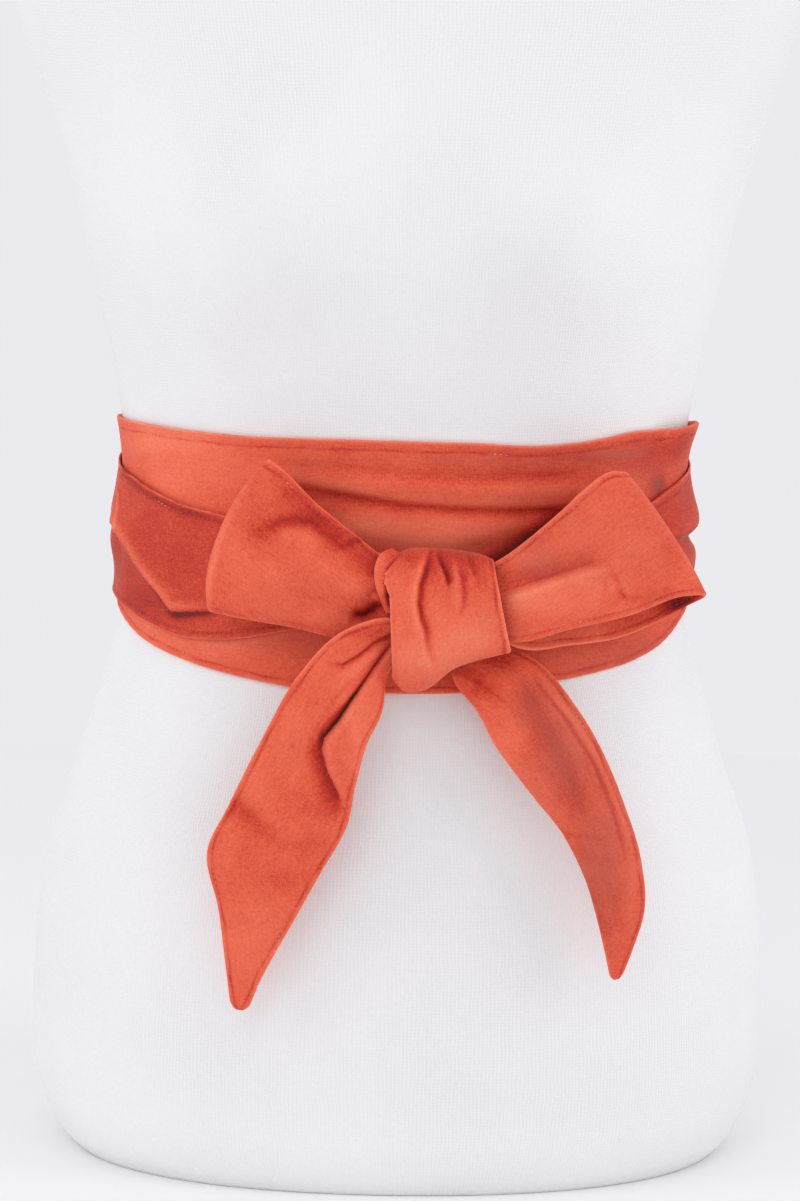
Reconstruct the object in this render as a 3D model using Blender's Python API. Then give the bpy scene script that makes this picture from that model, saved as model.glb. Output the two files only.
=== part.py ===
"""Velvet obi belt, wound round a limbless dress form and tied in a bow at the front.

Metres, +Z up. The front faces -Y and the origin is the centre of the form's flat base. The tables
below are in millimetres and degrees, and MM turns them into metres where a mesh is made. "Ahead" is
the distance in front of the form's axis, so it is -y. Angles start at the front and grow towards +X.
"""

from collections import namedtuple

import bmesh
import bpy
import numpy as np

MM = 0.001
CLOTH = 2.4  # two plies of velvet, sewn right sides together and turned
SEAM_GAP = 0.4  # between the panel's end and the tie sewn to it
BODY_GAP = 0.6  # between the form and the first layer of cloth
LAYER = CLOTH + 0.6  # from the inside of one layer to the inside of the next
PANEL_END = 115.0  # angle at which the panel has tapered down to the tie
TIE_LAYER = 1.1  # layer in which both ties reach the front, over the panel
ARC_PER_DEGREE = 2.4  # length of belt for each degree round the waist
WRAP_STEP = 5.0  # all wound pieces turn at the same angles, so that their layers nest
WRAP_ACROSS = 11  # points across the belt's width
SHARP_ANGLE = 50  # edges that turn more than this are shaded sharp

VELVET = dict(name="coral velvet", colour=(0.74, 0.105, 0.05), roughness=0.85)
JERSEY = dict(name="white jersey", colour=(0.86, 0.86, 0.85), roughness=0.9)

Ring = namedtuple("Ring", "height half_width front back fullness")
FORM_RINGS = [
    Ring(0, 178, 128, 132, 0.03),
    Ring(7, 185, 133, 138, 0.03),
    Ring(19, 192, 136, 142, 0.03),
    Ring(42, 199, 136, 144, 0.025),
    Ring(76, 201, 137, 147, 0.02),
    Ring(110, 200, 136, 148, 0.015),
    Ring(144, 197, 134, 146, 0.01),
    Ring(178, 190, 132, 141, 0.005),
    Ring(212, 178, 130, 134, 0),
    Ring(245, 168, 128, 126, 0),
    Ring(279, 158, 125, 119, 0),
    Ring(315, 151, 121, 113, 0),
    Ring(347, 149, 118, 110, 0),
    Ring(378, 151, 118, 110, 0),
    Ring(402, 154, 120, 111, 0),
    Ring(439, 161, 124, 113, 0),
    Ring(466, 167, 127, 114, 0),
    Ring(493, 173, 129, 115, 0),
    Ring(520, 179, 129, 116, 0),
    Ring(548, 187, 127, 118, 0),
    Ring(576, 196, 123, 119, 0),
    Ring(604, 206, 117, 120, 0),
    Ring(632, 215, 109, 119, 0),
    Ring(660, 220, 100, 115, 0),
    Ring(684, 218, 90, 107, 0),
    Ring(704, 205, 80, 97, 0),
    Ring(722, 176, 71, 85, 0),
    Ring(738, 132, 63, 72, 0),
    Ring(751, 92, 57, 62, 0),
    Ring(766, 68, 53, 56, 0),
    Ring(788, 60, 50, 53, 0),
    Ring(812, 58, 49, 51, 0),
    Ring(820, 56, 47, 49, 0),
]
FORM_SIDES = 44
# Where the mesh has its rings: closer at the base, at the hollow waist and over the shoulders.
RingSpan = namedtuple("RingSpan", "first last step")
RING_SPANS = [
    RingSpan(0, 7, 7),
    RingSpan(19, 42, 23),
    RingSpan(71, 245, 29),
    RingSpan(250, 425, 13),
    RingSpan(438, 655, 18),
    RingSpan(666, 766, 14),
    RingSpan(788, 820, 16),
]
BUST = dict(apart=90, height=524, reach=27, wide=62, tall=60)

# The centre panel: its lower and upper edge at each angle, alike on both sides.
PanelEdge = namedtuple("PanelEdge", "angle low top")
PANEL_EDGES = [
    PanelEdge(0, 272, 403.5),
    PanelEdge(15, 272.5, 403.5),
    PanelEdge(30, 276.5, 403.5),
    PanelEdge(45, 281.5, 404),
    PanelEdge(60, 288, 404),
    PanelEdge(75, 298, 403),
    PanelEdge(90, 304, 401.5),
    PanelEdge(103, 306, 398),
    PanelEdge(PANEL_END, 306, 394),
]

# The ties: turn runs from the front centre round the side where the tie is sewn on, across the back
# and on to the front. At the centre back the two cross, one above the other, and change layers.
TieEdge = namedtuple("TieEdge", "turn low top layer")
TIE_TO_RIGHT = [
    TieEdge(PANEL_END, 306, 394, 0),
    TieEdge(135, 309, 393, 0),
    TieEdge(155, 327, 396, 0),
    TieEdge(170, 346, 399, 0.2),
    TieEdge(175, 352, 400, 0.5),
    TieEdge(180, 354, 400, 1),
    TieEdge(185, 353, 400, 1.45),
    TieEdge(190, 348, 399, 1.6),
    TieEdge(205, 327, 395, 1.4),
    TieEdge(225, 310, 391, 1.15),
    TieEdge(250, 305, 389, TIE_LAYER),
    TieEdge(275, 304, 387, TIE_LAYER),
    TieEdge(286, 305, 384, TIE_LAYER),
    TieEdge(296, 307, 376, TIE_LAYER),
    TieEdge(301, 308, 369, TIE_LAYER),
    TieEdge(320, 311, 358, TIE_LAYER),
    TieEdge(340, 314, 348, TIE_LAYER),
    TieEdge(352, 315, 345, TIE_LAYER),
]
TIE_TO_LEFT = [
    TieEdge(PANEL_END, 306, 394, 0),
    TieEdge(135, 305, 391, 0),
    TieEdge(155, 302, 373, 0),
    TieEdge(170, 300, 354, 0.2),
    TieEdge(175, 300, 349, 0.5),
    TieEdge(180, 300, 347, 1),
    TieEdge(185, 300, 348, 1.45),
    TieEdge(190, 300, 353, 1.6),
    TieEdge(205, 302, 372, 1.4),
    TieEdge(225, 304, 386, 1.15),
    TieEdge(250, 304, 390, TIE_LAYER),
    TieEdge(275, 304, 389, TIE_LAYER),
    TieEdge(285, 304, 387, TIE_LAYER),
    TieEdge(303, 297, 371, TIE_LAYER),
    TieEdge(312, 294, 364, TIE_LAYER),
    TieEdge(322, 295, 361, TIE_LAYER),
    TieEdge(346, 308, 350, TIE_LAYER),
    TieEdge(358, 313, 346, TIE_LAYER),
    TieEdge(366, 314, 345, TIE_LAYER),
]

# Soft ridges in the wound cloth, each a straight run from one angle and height to another.
Ridge = namedtuple("Ridge", "angle height to_angle to_height rise width")
PANEL_RIDGES = [
    Ridge(-22, 390, 34, 386, 2.4, 8),
    Ridge(-40, 372, 30, 360, 1.6, 8),
    Ridge(44, 380, 58, 372, 2.0, 8),
    Ridge(-62, 390, -30, 378, 1.2, 9),
]
TIE_TO_RIGHT_RIDGES = [
    Ridge(62, 352, 104, 350, 8.5, 9),
    Ridge(66, 327, 104, 326, 6.0, 6),
    Ridge(112, 362, 172, 382, 3.5, 8),
    Ridge(124, 336, 174, 362, 3.0, 7),
]
TIE_TO_LEFT_RIDGES = [
    Ridge(-108, 346, -75, 342, 9.0, 17),
    Ridge(-75, 343, -57, 327, 7.0, 11),
    Ridge(-57, 327, -44, 315, 6.5, 7),
    Ridge(-118, 346, -172, 334, 3.5, 8),
    Ridge(-128, 318, -174, 314, 2.5, 7),
]

# A strip of the bow: its upper and its lower edge at each row, how far the middle stands ahead of
# the straight line between them, and how far it bulges sideways.
ARCH_POWER = 2.4  # how square that bulge is across the strip
STRIP_PER_ROW = 2  # points along a strip from one row to the next
Strip = namedtuple("Strip", "top_x top_ahead top_z low_x low_ahead low_z belly side")
LOOP_LEFT = [
    Strip(1.5, 144, 342, 1.5, 143, 307, 4, 0),
    Strip(-9, 145, 347, -9, 144, 304, 4, 0),
    Strip(-24, 145, 358, -30, 144, 303, 5, 0),
    Strip(-46, 142, 375.5, -56, 140, 308, 8, -2),
    Strip(-61, 135, 389, -85, 130, 311, 7, -8),
    Strip(-70, 127, 395, -98, 120, 312.5, 0, -13),
    Strip(-64, 120, 394, -86, 112, 312, -3, -8),
    Strip(-46, 126, 379, -56, 125, 309, -2, -2),
    Strip(-24, 132, 360, -30, 131, 304, -2, 0),
    Strip(-9, 136, 343, -9, 135, 304, -3, 0),
    Strip(1.5, 138, 341, 1.5, 137, 307, -4, 0),
]
LOOP_RIGHT = [
    Strip(46.8, 146, 340, 46.8, 146, 309.5, 7, 0),
    Strip(55, 147, 346, 59, 147, 306, 7, 0),
    Strip(73, 144, 361, 88, 142, 311, 7, 0),
    Strip(93, 136, 382, 119, 129, 320, 7, 0),
    Strip(109, 125, 391.5, 147, 112, 328, 5, 1),
    Strip(117, 117, 391.5, 160, 99, 327, 0, 2),
    Strip(110, 110, 390, 150, 91, 316.5, -4, 1),
    Strip(93, 116, 380, 122, 101, 304, -4, 0),
    Strip(73, 128, 359, 88, 121, 297, -4, 0),
    Strip(55, 138, 344, 60, 138, 297.5, -5, 0),
    Strip(46.8, 141, 339, 46.8, 141, 309.5, -6, 0),
]
TAIL_LEFT = [
    Strip(1.5, 154, 316, 0, 152, 297, 0.5, 0),
    Strip(-9, 156, 317, -9, 151, 286, 0.5, 0),
    Strip(-31, 159, 310.5, -13, 156, 268, 3, 0),
    Strip(-54, 158, 286, -19, 157, 250, 5, 0),
    Strip(-73, 156, 253.5, -24, 156, 228, 6, 0),
    Strip(-91, 153, 216, -30, 155, 205, 6, 0),
    Strip(-102, 150, 190, -43, 154, 179, 5, 0),
    Strip(-97, 149, 161, -58, 153, 151, 4, 0),
    Strip(-92, 148, 131, -73, 151, 123, 2, 0),
    Strip(-88, 148, 108, -79, 149, 107, 0, 0),
]
TAIL_RIGHT = [
    Strip(46, 131, 304.6, 24, 132, 300.1, 0, 0),
    Strip(59, 129.5, 298, 31, 139, 281, 1, 0),
    Strip(75, 132.5, 288.5, 40, 146, 268, 4, 0),
    Strip(94, 142, 267, 49.5, 150, 249, 6, 0),
    Strip(109, 143, 241, 70, 151, 222, 7, 0),
    Strip(120, 143, 214, 87, 151, 204, 7, 0),
    Strip(128, 142, 189, 96, 150, 180, 6, 0),
    Strip(130.5, 141, 162, 102, 148, 159, 4, 0),
    Strip(125, 141, 140, 107.5, 146, 138, 2, 0),
    Strip(118, 142, 125, 112, 144, 124.5, 0, 0),
]
KNOT_TURN = [
    Strip(-11.5, 148.4, 352.3, -8.5, 148.4, 350.8, 0, 0),
    Strip(-14, 152.5, 347.2, -6, 151.3, 344.2, 0.5, 0),
    Strip(-15, 154.2, 341, -3.5, 154.4, 339, 1, 0),
    Strip(-14.5, 153.7, 335, -3, 154.7, 335, 1, 0),
    Strip(-11.5, 153.2, 327, -3, 154.6, 328, 0.5, 0),
    Strip(-9, 153.2, 320.5, -3, 154.2, 321, 0, 0),
]

# Folds of the bow in the front view: a straight run, how far it stands out, and its half width.
Fold = namedtuple("Fold", "x z to_x to_z rise width")
LOOP_LEFT_FOLDS = [
    Fold(-70, 355, -53, 362, -4.5, 8),
    Fold(-53, 362, -24, 346, -5, 8),
    Fold(-62, 343, -14, 325, 3.5, 9),
    Fold(-12, 320, -26, 312, -4, 7),
]
LOOP_RIGHT_FOLDS = [
    Fold(55, 333, 106, 343, 4, 8),
    Fold(60, 321, 118, 331, -3, 8),
    Fold(62, 346, 100, 368, -2.5, 9),
]
TAIL_LEFT_FOLDS = [
    Fold(-14, 303, -38, 262, -6, 6),
    Fold(-38, 262, -33, 224, -8, 6.5),
    Fold(-30, 290, -58, 225, 3, 9),
    Fold(-18, 311, -44, 294, -2.5, 5),
    Fold(-70, 208, -55, 150, 2.5, 10),
]
TAIL_RIGHT_FOLDS = [
    Fold(42, 287, 82, 244, -3.5, 6),
    Fold(82, 244, 112, 170, -3, 7),
    Fold(60, 285, 102, 236, 2.5, 8),
]

# The knot's band, from its left edge to its right one: where it lies at the top, how far it leans to
# the right on its way down, its top and bottom, and its crown ahead.
Band = namedtuple("Band", "x lean top low ahead")
KNOT_BAND = [
    Band(-6.5, 0, 351.5, 283, 163),
    Band(2, 0, 355.5, 280, 165.5),
    Band(13, 1, 356, 282, 168),
    Band(24, 3, 355, 291, 169),
    Band(34, 5, 354, 296, 167.5),
    Band(42, 7, 352, 299.5, 165),
    Band(47.5, 9, 348.5, 302.5, 163),
]
BAND_CENTRE = 146.0  # ahead, where the knot is tallest
BAND_BACK = 19.4  # depth of the band's bend behind that centre
BAND_FROM, BAND_TO = 128.0, -100.0  # from behind the top, over the front, to under the bottom
BAND_SQUARE = 2.6  # 2 would make its section an ellipse
BAND_ALONG, BAND_ROUND = 19, 17  # points along the knot and round it
CORE_FROM, CORE_TO = 2.4, 45.6  # the packed turns of cloth inside the band
CORE_INSET = 6.9  # inside the band's outer face, clear of its gathers
CORE_ROUNDING = 2.5  # how far each end of the core shrinks
CORE_SEAT = 0.5  # between the ties and the core's back
CORE_RINGS, CORE_SIDES = 9, 24
# Gathers of the band: where each starts at the top and ends lower down. They fade out between two
# angles, as the band turns back over the top and under the bottom.
GATHER_FULL, GATHER_NONE = 45.0, 103.0
GATHER_DEEPEST = 3.8
BAND_FOLDS = [
    Fold(18, 354, 13, 318, -4.5, 3.2),
    Fold(23, 355, 26, 332, -3.5, 3.0),
    Fold(31, 352, 32, 322, -3.0, 3.2),
    Fold(40, 350, 44, 334, -2.5, 3.2),
    Fold(13, 318, 19, 300, -2.0, 4.0),
]


def clear_scene():
    for obj in list(bpy.data.objects):
        bpy.data.objects.remove(obj, do_unlink=True)


def smooth(knots, values, at):
    """Values at `at` on the smooth curve that passes through each value at its knot."""
    knots = np.asarray(knots, float)
    values = np.asarray(values, float)
    slopes = np.gradient(values, knots)
    left = np.clip(np.searchsorted(knots, at) - 1, 0, len(knots) - 2)
    step = knots[left + 1] - knots[left]
    t = (at - knots[left]) / step
    start = values[left] * (1 + 2 * t) * (1 - t) ** 2
    end = values[left + 1] * t * t * (3 - 2 * t)
    bend = step * t * (1 - t) * (slopes[left] * (1 - t) - slopes[left + 1] * t)
    return start + end + bend


def column(rows, name):
    return np.array([getattr(row, name) for row in rows], float)


def distance_to_run(x, z, run):
    """Distance of each point to a straight run given as (x, z, to_x, to_z)."""
    from_x, from_z, to_x, to_z = run
    along_x, along_z = to_x - from_x, to_z - from_z
    length = along_x**2 + along_z**2
    t = np.clip(((x - from_x) * along_x + (z - from_z) * along_z) / length, 0, 1)
    return np.hypot(x - from_x - t * along_x, z - from_z - t * along_z)


def form_outline(angle, height):
    """x, ahead and the outward direction of the form at an angle and a height."""
    heights = column(FORM_RINGS, "height")
    wide = smooth(heights, column(FORM_RINGS, "half_width"), height)
    front = smooth(heights, column(FORM_RINGS, "front"), height)
    back = smooth(heights, column(FORM_RINGS, "back"), height)
    fullness = smooth(heights, column(FORM_RINGS, "fullness"), height)
    turn = np.radians(angle)
    deep = np.where(np.cos(turn) > 0, front, back)
    swell = 1 + fullness * np.sin(2 * turn) ** 2
    x = wide * np.sin(turn) * swell
    ahead = deep * np.cos(turn) * swell
    aside = (abs(x) - BUST["apart"]) / BUST["wide"]
    above = (height - BUST["height"]) / BUST["tall"]
    bust = np.exp(-(aside**2) - above**2) * np.clip(np.cos(turn), 0, 1)
    ahead = ahead + BUST["reach"] * bust
    out_x, out_ahead = np.sin(turn) / wide, np.cos(turn) / deep
    size = np.hypot(out_x, out_ahead)
    return x, ahead, out_x / size, out_ahead / size


def on_form(angle, height, out):
    """Points at a distance out from the form, as an array of x, y, z."""
    x, ahead, out_x, out_ahead = form_outline(angle, height)
    return np.stack([x + out * out_x, -(ahead + out * out_ahead), height + 0 * x], axis=-1)


def ridge_rise(angle, height, ridges):
    """How far the ridges lift the cloth off what it lies on."""
    rise = 0 * angle
    for ridge in ridges:
        start, end = ridge.angle * ARC_PER_DEGREE, ridge.to_angle * ARC_PER_DEGREE
        run = (start, ridge.height, end, ridge.to_height)
        near = distance_to_run(angle * ARC_PER_DEGREE, height, run)
        rise = np.maximum(rise, ridge.rise * np.exp(-((near / ridge.width) ** 2)))
    return rise


def half_turn(angle):
    """The same angle between -180 and 180."""
    return (angle + 180) % 360 - 180


def panel_rise(angle, height):
    return ridge_rise(half_turn(angle), height, PANEL_RIDGES)


def material(finish):
    made = bpy.data.materials.get(finish["name"])
    if made is None:
        made = bpy.data.materials.new(finish["name"])
        made.use_nodes = True
        shader = made.node_tree.nodes["Principled BSDF"]
        shader.inputs["Base Color"].default_value = (*finish["colour"], 1)
        shader.inputs["Roughness"].default_value = finish["roughness"]
        shader.inputs["Metallic"].default_value = 0
        made.diffuse_color = (*finish["colour"], 1)
    return made


def solid(name, points, faces, finish):
    """A named object from points in millimetres and closed faces, with its normals turned out."""
    mesh = bpy.data.meshes.new(name)
    mesh.from_pydata([tuple(point) for point in points * MM], [], faces)
    shape = bmesh.new()
    shape.from_mesh(mesh)
    bmesh.ops.recalc_face_normals(shape, faces=shape.faces)
    shape.to_mesh(mesh)
    shape.free()
    mesh.shade_smooth()
    mesh.set_sharp_from_angle(angle=np.radians(SHARP_ANGLE))
    mesh.materials.append(material(finish))
    made = bpy.data.objects.new(name, mesh)
    bpy.context.scene.collection.objects.link(made)
    return made


def wall(name, inner, outer):
    """A cloth wall between two grids of points, closed along its four edges."""
    rows, columns = inner.shape[:2]
    points = np.concatenate([inner.reshape(-1, 3), outer.reshape(-1, 3)])
    lift = rows * columns

    def at(row, col, side):
        return row * columns + col + side * lift

    faces = []
    for row in range(rows - 1):
        for col in range(columns - 1):
            corners = [(row, col), (row + 1, col), (row + 1, col + 1), (row, col + 1)]
            faces.append([at(*corner, 0) for corner in reversed(corners)])
            faces.append([at(*corner, 1) for corner in corners])
    rim = [(row, 0) for row in range(rows)]
    rim += [(rows - 1, col) for col in range(1, columns)]
    rim += [(row, columns - 1) for row in range(rows - 2, -1, -1)]
    rim += [(0, col) for col in range(columns - 2, 0, -1)]
    for here, there in zip(rim, rim[1:] + rim[:1]):
        faces.append([at(*here, 0), at(*there, 0), at(*there, 1), at(*here, 1)])
    return solid(name, points, faces, VELVET)


def normals_of(grid):
    """Unit normals of a grid of points."""
    along = np.gradient(grid, axis=0)
    across = np.gradient(grid, axis=1)
    normal = np.cross(along, across)
    return normal / np.linalg.norm(normal, axis=-1, keepdims=True)


def ring_solid(name, rings, finish):
    """A closed solid through rings of points, flat at both ends."""
    count, sides = rings.shape[:2]
    faces = [list(range(sides)), [(count - 1) * sides + side for side in range(sides)]]
    for ring in range(count - 1):
        for side in range(sides):
            nxt = (side + 1) % sides
            low, high = ring * sides, (ring + 1) * sides
            faces.append([low + side, low + nxt, high + nxt, high + side])
    return solid(name, rings.reshape(-1, 3), faces, finish)


def make_form():
    angles = np.arange(FORM_SIDES) * 360 / FORM_SIDES
    heights = np.concatenate([np.arange(span.first, span.last + 1, span.step) for span in RING_SPANS])
    angle, height = np.meshgrid(angles, heights)
    ring_solid("dress_form", on_form(angle, height, 0), JERSEY)


def make_panel():
    angles = np.arange(-PANEL_END, PANEL_END + 1, WRAP_STEP)
    across = np.linspace(0, 1, WRAP_ACROSS)
    knots = column(PANEL_EDGES, "angle")
    low = smooth(knots, column(PANEL_EDGES, "low"), abs(angles))
    top = smooth(knots, column(PANEL_EDGES, "top"), abs(angles))
    height = low[:, None] + (top - low)[:, None] * across
    angle = angles[:, None] + 0 * height
    out = BODY_GAP + panel_rise(angle, height)
    wall("centre_panel", on_form(angle, height, out), on_form(angle, height, out + CLOTH))


def make_tie(name, edges, ridges, side):
    """A tie from the panel's end on one side, round the back, to the knot. side is -1 or 1."""
    knots = column(edges, "turn")
    first = PANEL_END + SEAM_GAP / ARC_PER_DEGREE
    turns = np.append(np.arange(PANEL_END + WRAP_STEP, knots[-1], WRAP_STEP), knots[-1])
    turns = np.insert(turns, 0, first)
    across = np.linspace(0, 1, WRAP_ACROSS)
    low, top, layer = (smooth(knots, column(edges, field), turns) for field in ("low", "top", "layer"))
    height = low[:, None] + (top - low)[:, None] * across
    angle = half_turn(side * turns)[:, None] + 0 * height
    rise = panel_rise(angle, height) + ridge_rise(angle, height, ridges)
    out = BODY_GAP + layer[:, None] * LAYER + rise
    wall(name, on_form(angle, height, out), on_form(angle, height, out + CLOTH))


def strip_grid(rows, across):
    """Middle surface of a strip, with a number of points across it."""
    top = np.stack([column(rows, "top_x"), -column(rows, "top_ahead"), column(rows, "top_z")], axis=1)
    low = np.stack([column(rows, "low_x"), -column(rows, "low_ahead"), column(rows, "low_z")], axis=1)
    middle = (top + low) / 2
    steps = np.linalg.norm(np.diff(middle, axis=0), axis=1)
    knots = np.concatenate([[0], np.cumsum(np.maximum(steps, 1))])
    place = np.linspace(0, len(rows) - 1, STRIP_PER_ROW * (len(rows) - 1) + 1)
    at = np.interp(place, np.arange(len(rows)), knots)
    top = np.stack([smooth(knots, top[:, axis], at) for axis in range(3)], axis=1)
    low = np.stack([smooth(knots, low[:, axis], at) for axis in range(3)], axis=1)
    belly = smooth(knots, column(rows, "belly"), at)
    side = smooth(knots, column(rows, "side"), at)
    down = np.linspace(0, 1, across)[None, :, None]
    grid = top[:, None] * (1 - down) + low[:, None] * down
    arch = 1 - abs(2 * down[..., 0] - 1) ** ARCH_POWER
    grid[..., 0] += side[:, None] * arch
    grid[..., 1] -= belly[:, None] * arch
    return grid


def fold_rise(grid, folds):
    rise = 0 * grid[..., 0]
    for fold in folds:
        near = distance_to_run(grid[..., 0], grid[..., 2], fold[:4])
        rise += fold.rise * np.exp(-((near / fold.width) ** 2))
    return rise


def make_strip(name, rows, folds, across, front_rows):
    """A strip of cloth. Its folds lie in its first front_rows rows, which face the front."""
    grid = strip_grid(rows, across)
    rise = fold_rise(grid, folds)
    rise[front_rows * STRIP_PER_ROW :] = 0
    grid[..., 1] -= rise
    normal = normals_of(grid)
    wall(name, grid - normal * CLOTH / 2, grid + normal * CLOTH / 2)


def knot_section(x, turn, inset, back, lean=1):
    """Points of the knot's round section at each x and turn, inset from the band's outer face."""
    xs = column(KNOT_BAND, "x")
    top = smooth(xs, column(KNOT_BAND, "top"), x) - inset
    low = smooth(xs, column(KNOT_BAND, "low"), x) + inset
    crown = smooth(xs, column(KNOT_BAND, "ahead"), x) - inset - BAND_CENTRE
    turn = np.radians(turn)
    power = 2 / BAND_SQUARE
    forward = np.sign(np.cos(turn)) * abs(np.cos(turn)) ** power
    upward = np.sign(np.sin(turn)) * abs(np.sin(turn)) ** power
    ahead = BAND_CENTRE + forward * np.where(forward > 0, crown, back)
    z = (top + low) / 2 + upward * (top - low) / 2
    x = x + lean * smooth(xs, column(KNOT_BAND, "lean"), x) * (top - z) / (top - low)
    return np.stack([x, -ahead, z], axis=-1)


def make_band():
    along = np.linspace(KNOT_BAND[0].x, KNOT_BAND[-1].x, BAND_ALONG)
    turn, x = np.meshgrid(np.linspace(BAND_FROM, BAND_TO, BAND_ROUND), along)
    outer = knot_section(x, turn, 0, BAND_BACK)
    inner = knot_section(x, turn, CLOTH, BAND_BACK - CLOTH)
    facing = np.clip((GATHER_NONE - abs(turn)) / (GATHER_NONE - GATHER_FULL), 0, 1)
    sink = np.clip(-fold_rise(outer, BAND_FOLDS) * facing, 0, GATHER_DEEPEST)
    inward = sink[..., None] * (knot_section(x, turn, 1, BAND_BACK - 1) - outer)
    wall("knot_band", inner + inward, outer + inward)


def make_core():
    """The turns of cloth packed inside the band, as one solid whose back follows the ties."""
    turns = np.arange(CORE_SIDES) * 360 / CORE_SIDES
    turn, x = np.meshgrid(turns, np.linspace(CORE_FROM, CORE_TO, CORE_RINGS))
    end = abs(2 * (x - CORE_FROM) / (CORE_TO - CORE_FROM) - 1)
    middle = (KNOT_BAND[0].top + KNOT_BAND[0].low) / 2
    ties_out = BODY_GAP + TIE_LAYER * LAYER + CLOTH
    half_width = on_form(90, middle, ties_out)[0]
    seat = -on_form(0, middle, ties_out + CORE_SEAT)[1] * np.sqrt(1 - (x / half_width) ** 2)
    inset = CORE_INSET + CORE_ROUNDING * end**4
    ring_solid("knot_core", knot_section(x, turn, inset, BAND_CENTRE - seat, lean=0), VELVET)


def main():
    clear_scene()
    make_form()
    make_panel()
    make_tie("tie_to_right", TIE_TO_RIGHT, TIE_TO_RIGHT_RIDGES, -1)
    make_tie("tie_to_left", TIE_TO_LEFT, TIE_TO_LEFT_RIDGES, 1)
    make_strip("loop_left", LOOP_LEFT, LOOP_LEFT_FOLDS, across=9, front_rows=5)
    make_strip("loop_right", LOOP_RIGHT, LOOP_RIGHT_FOLDS, across=9, front_rows=5)
    make_strip("tail_left", TAIL_LEFT, TAIL_LEFT_FOLDS, across=11, front_rows=len(TAIL_LEFT))
    make_strip("tail_right", TAIL_RIGHT, TAIL_RIGHT_FOLDS, across=11, front_rows=len(TAIL_RIGHT))
    make_strip("knot_turn", KNOT_TURN, [], across=5, front_rows=0)
    make_band()
    make_core()


main()
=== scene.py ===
import math

import bmesh
import bpy
import numpy as np
from mathutils import Matrix, Vector


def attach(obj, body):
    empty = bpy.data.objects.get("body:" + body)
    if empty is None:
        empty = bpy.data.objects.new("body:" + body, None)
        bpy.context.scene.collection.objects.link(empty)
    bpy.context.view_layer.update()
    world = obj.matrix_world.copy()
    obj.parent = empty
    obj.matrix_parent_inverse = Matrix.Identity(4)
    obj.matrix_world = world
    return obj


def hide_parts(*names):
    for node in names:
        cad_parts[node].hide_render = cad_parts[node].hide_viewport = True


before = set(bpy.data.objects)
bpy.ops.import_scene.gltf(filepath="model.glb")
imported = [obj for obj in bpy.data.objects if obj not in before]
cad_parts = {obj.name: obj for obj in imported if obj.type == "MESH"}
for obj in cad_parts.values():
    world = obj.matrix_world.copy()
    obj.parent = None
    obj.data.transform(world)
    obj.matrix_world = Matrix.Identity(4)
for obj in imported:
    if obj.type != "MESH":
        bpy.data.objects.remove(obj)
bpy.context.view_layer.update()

mm = 0.001  # lengths in the dictionaries are millimetres, angles are degrees


# Smooth values between the rows of a table

def smoothThrough(knots, values, at):
    knots = np.asarray(knots, float)
    values = np.asarray(values, float)
    slopes = np.gradient(values, knots)
    left = np.clip(np.searchsorted(knots, at) - 1, 0, len(knots) - 2)
    step = knots[left + 1] - knots[left]
    t = (at - knots[left]) / step
    start = values[left] * (1 + 2 * t) * (1 - t) ** 2
    end = values[left + 1] * t * t * (3 - 2 * t)
    return start + end + step * t * (1 - t) * (slopes[left] * (1 - t) - slopes[left + 1] * t)


def fadeIn(value, start, end):
    # 0 up to start, 1 from end on
    t = np.clip((value - start) / (end - start), 0, 1)
    return t * t * (3 - 2 * t)


def waves(x, z, length, seed, count=7):
    # gentle unevenness between -1 and 1, the same each run
    shortest, longest, gain = 0.7, 1.6, 1.6  # the waves are these shares of length, their mean is raised
    draw = np.random.default_rng(seed)
    total = 0 * x
    for _ in range(count):
        heading = draw.uniform(0, math.pi)
        pitch = length * draw.uniform(shortest, longest)
        phase = draw.uniform(0, 2 * math.pi)
        across = x * math.cos(heading) + z * math.sin(heading)
        total = total + np.sin(2 * math.pi * across / pitch + phase)
    return total / count * gain


creaseEnds = (-0.08, 0.22)  # a crease fades in and out over these shares of its path


def creaseField(x, z, creases):
    # each crease: its path, how far it stands out, its width on the left and on the right of the path
    total = 0 * x
    for path, rise, left, right in creases:
        best = np.full(x.shape, np.inf)
        side = np.zeros(x.shape)
        along = np.zeros(x.shape)
        lengths = [math.dist(a, b) for a, b in zip(path, path[1:])]
        done = 0
        for (fromX, fromZ), (toX, toZ), length in zip(path, path[1:], lengths):
            aheadX, aheadZ = (toX - fromX) / length, (toZ - fromZ) / length
            t = np.clip((x - fromX) * aheadX + (z - fromZ) * aheadZ, 0, length)
            offX, offZ = x - fromX - t * aheadX, z - fromZ - t * aheadZ
            near = np.hypot(offX, offZ)
            closer = near < best
            best = np.where(closer, near, best)
            side = np.where(closer, aheadX * offZ - aheadZ * offX, side)
            along = np.where(closer, (done + t) / sum(lengths), along)
            done += length
        width = np.where(side > 0, left, right)
        fade = fadeIn(np.minimum(along, 1 - along), *creaseEnds)
        total = total + rise * fade * np.exp(-((best / width) ** 2))
    return total


# The belt's cloth, the same for all its pieces

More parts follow.
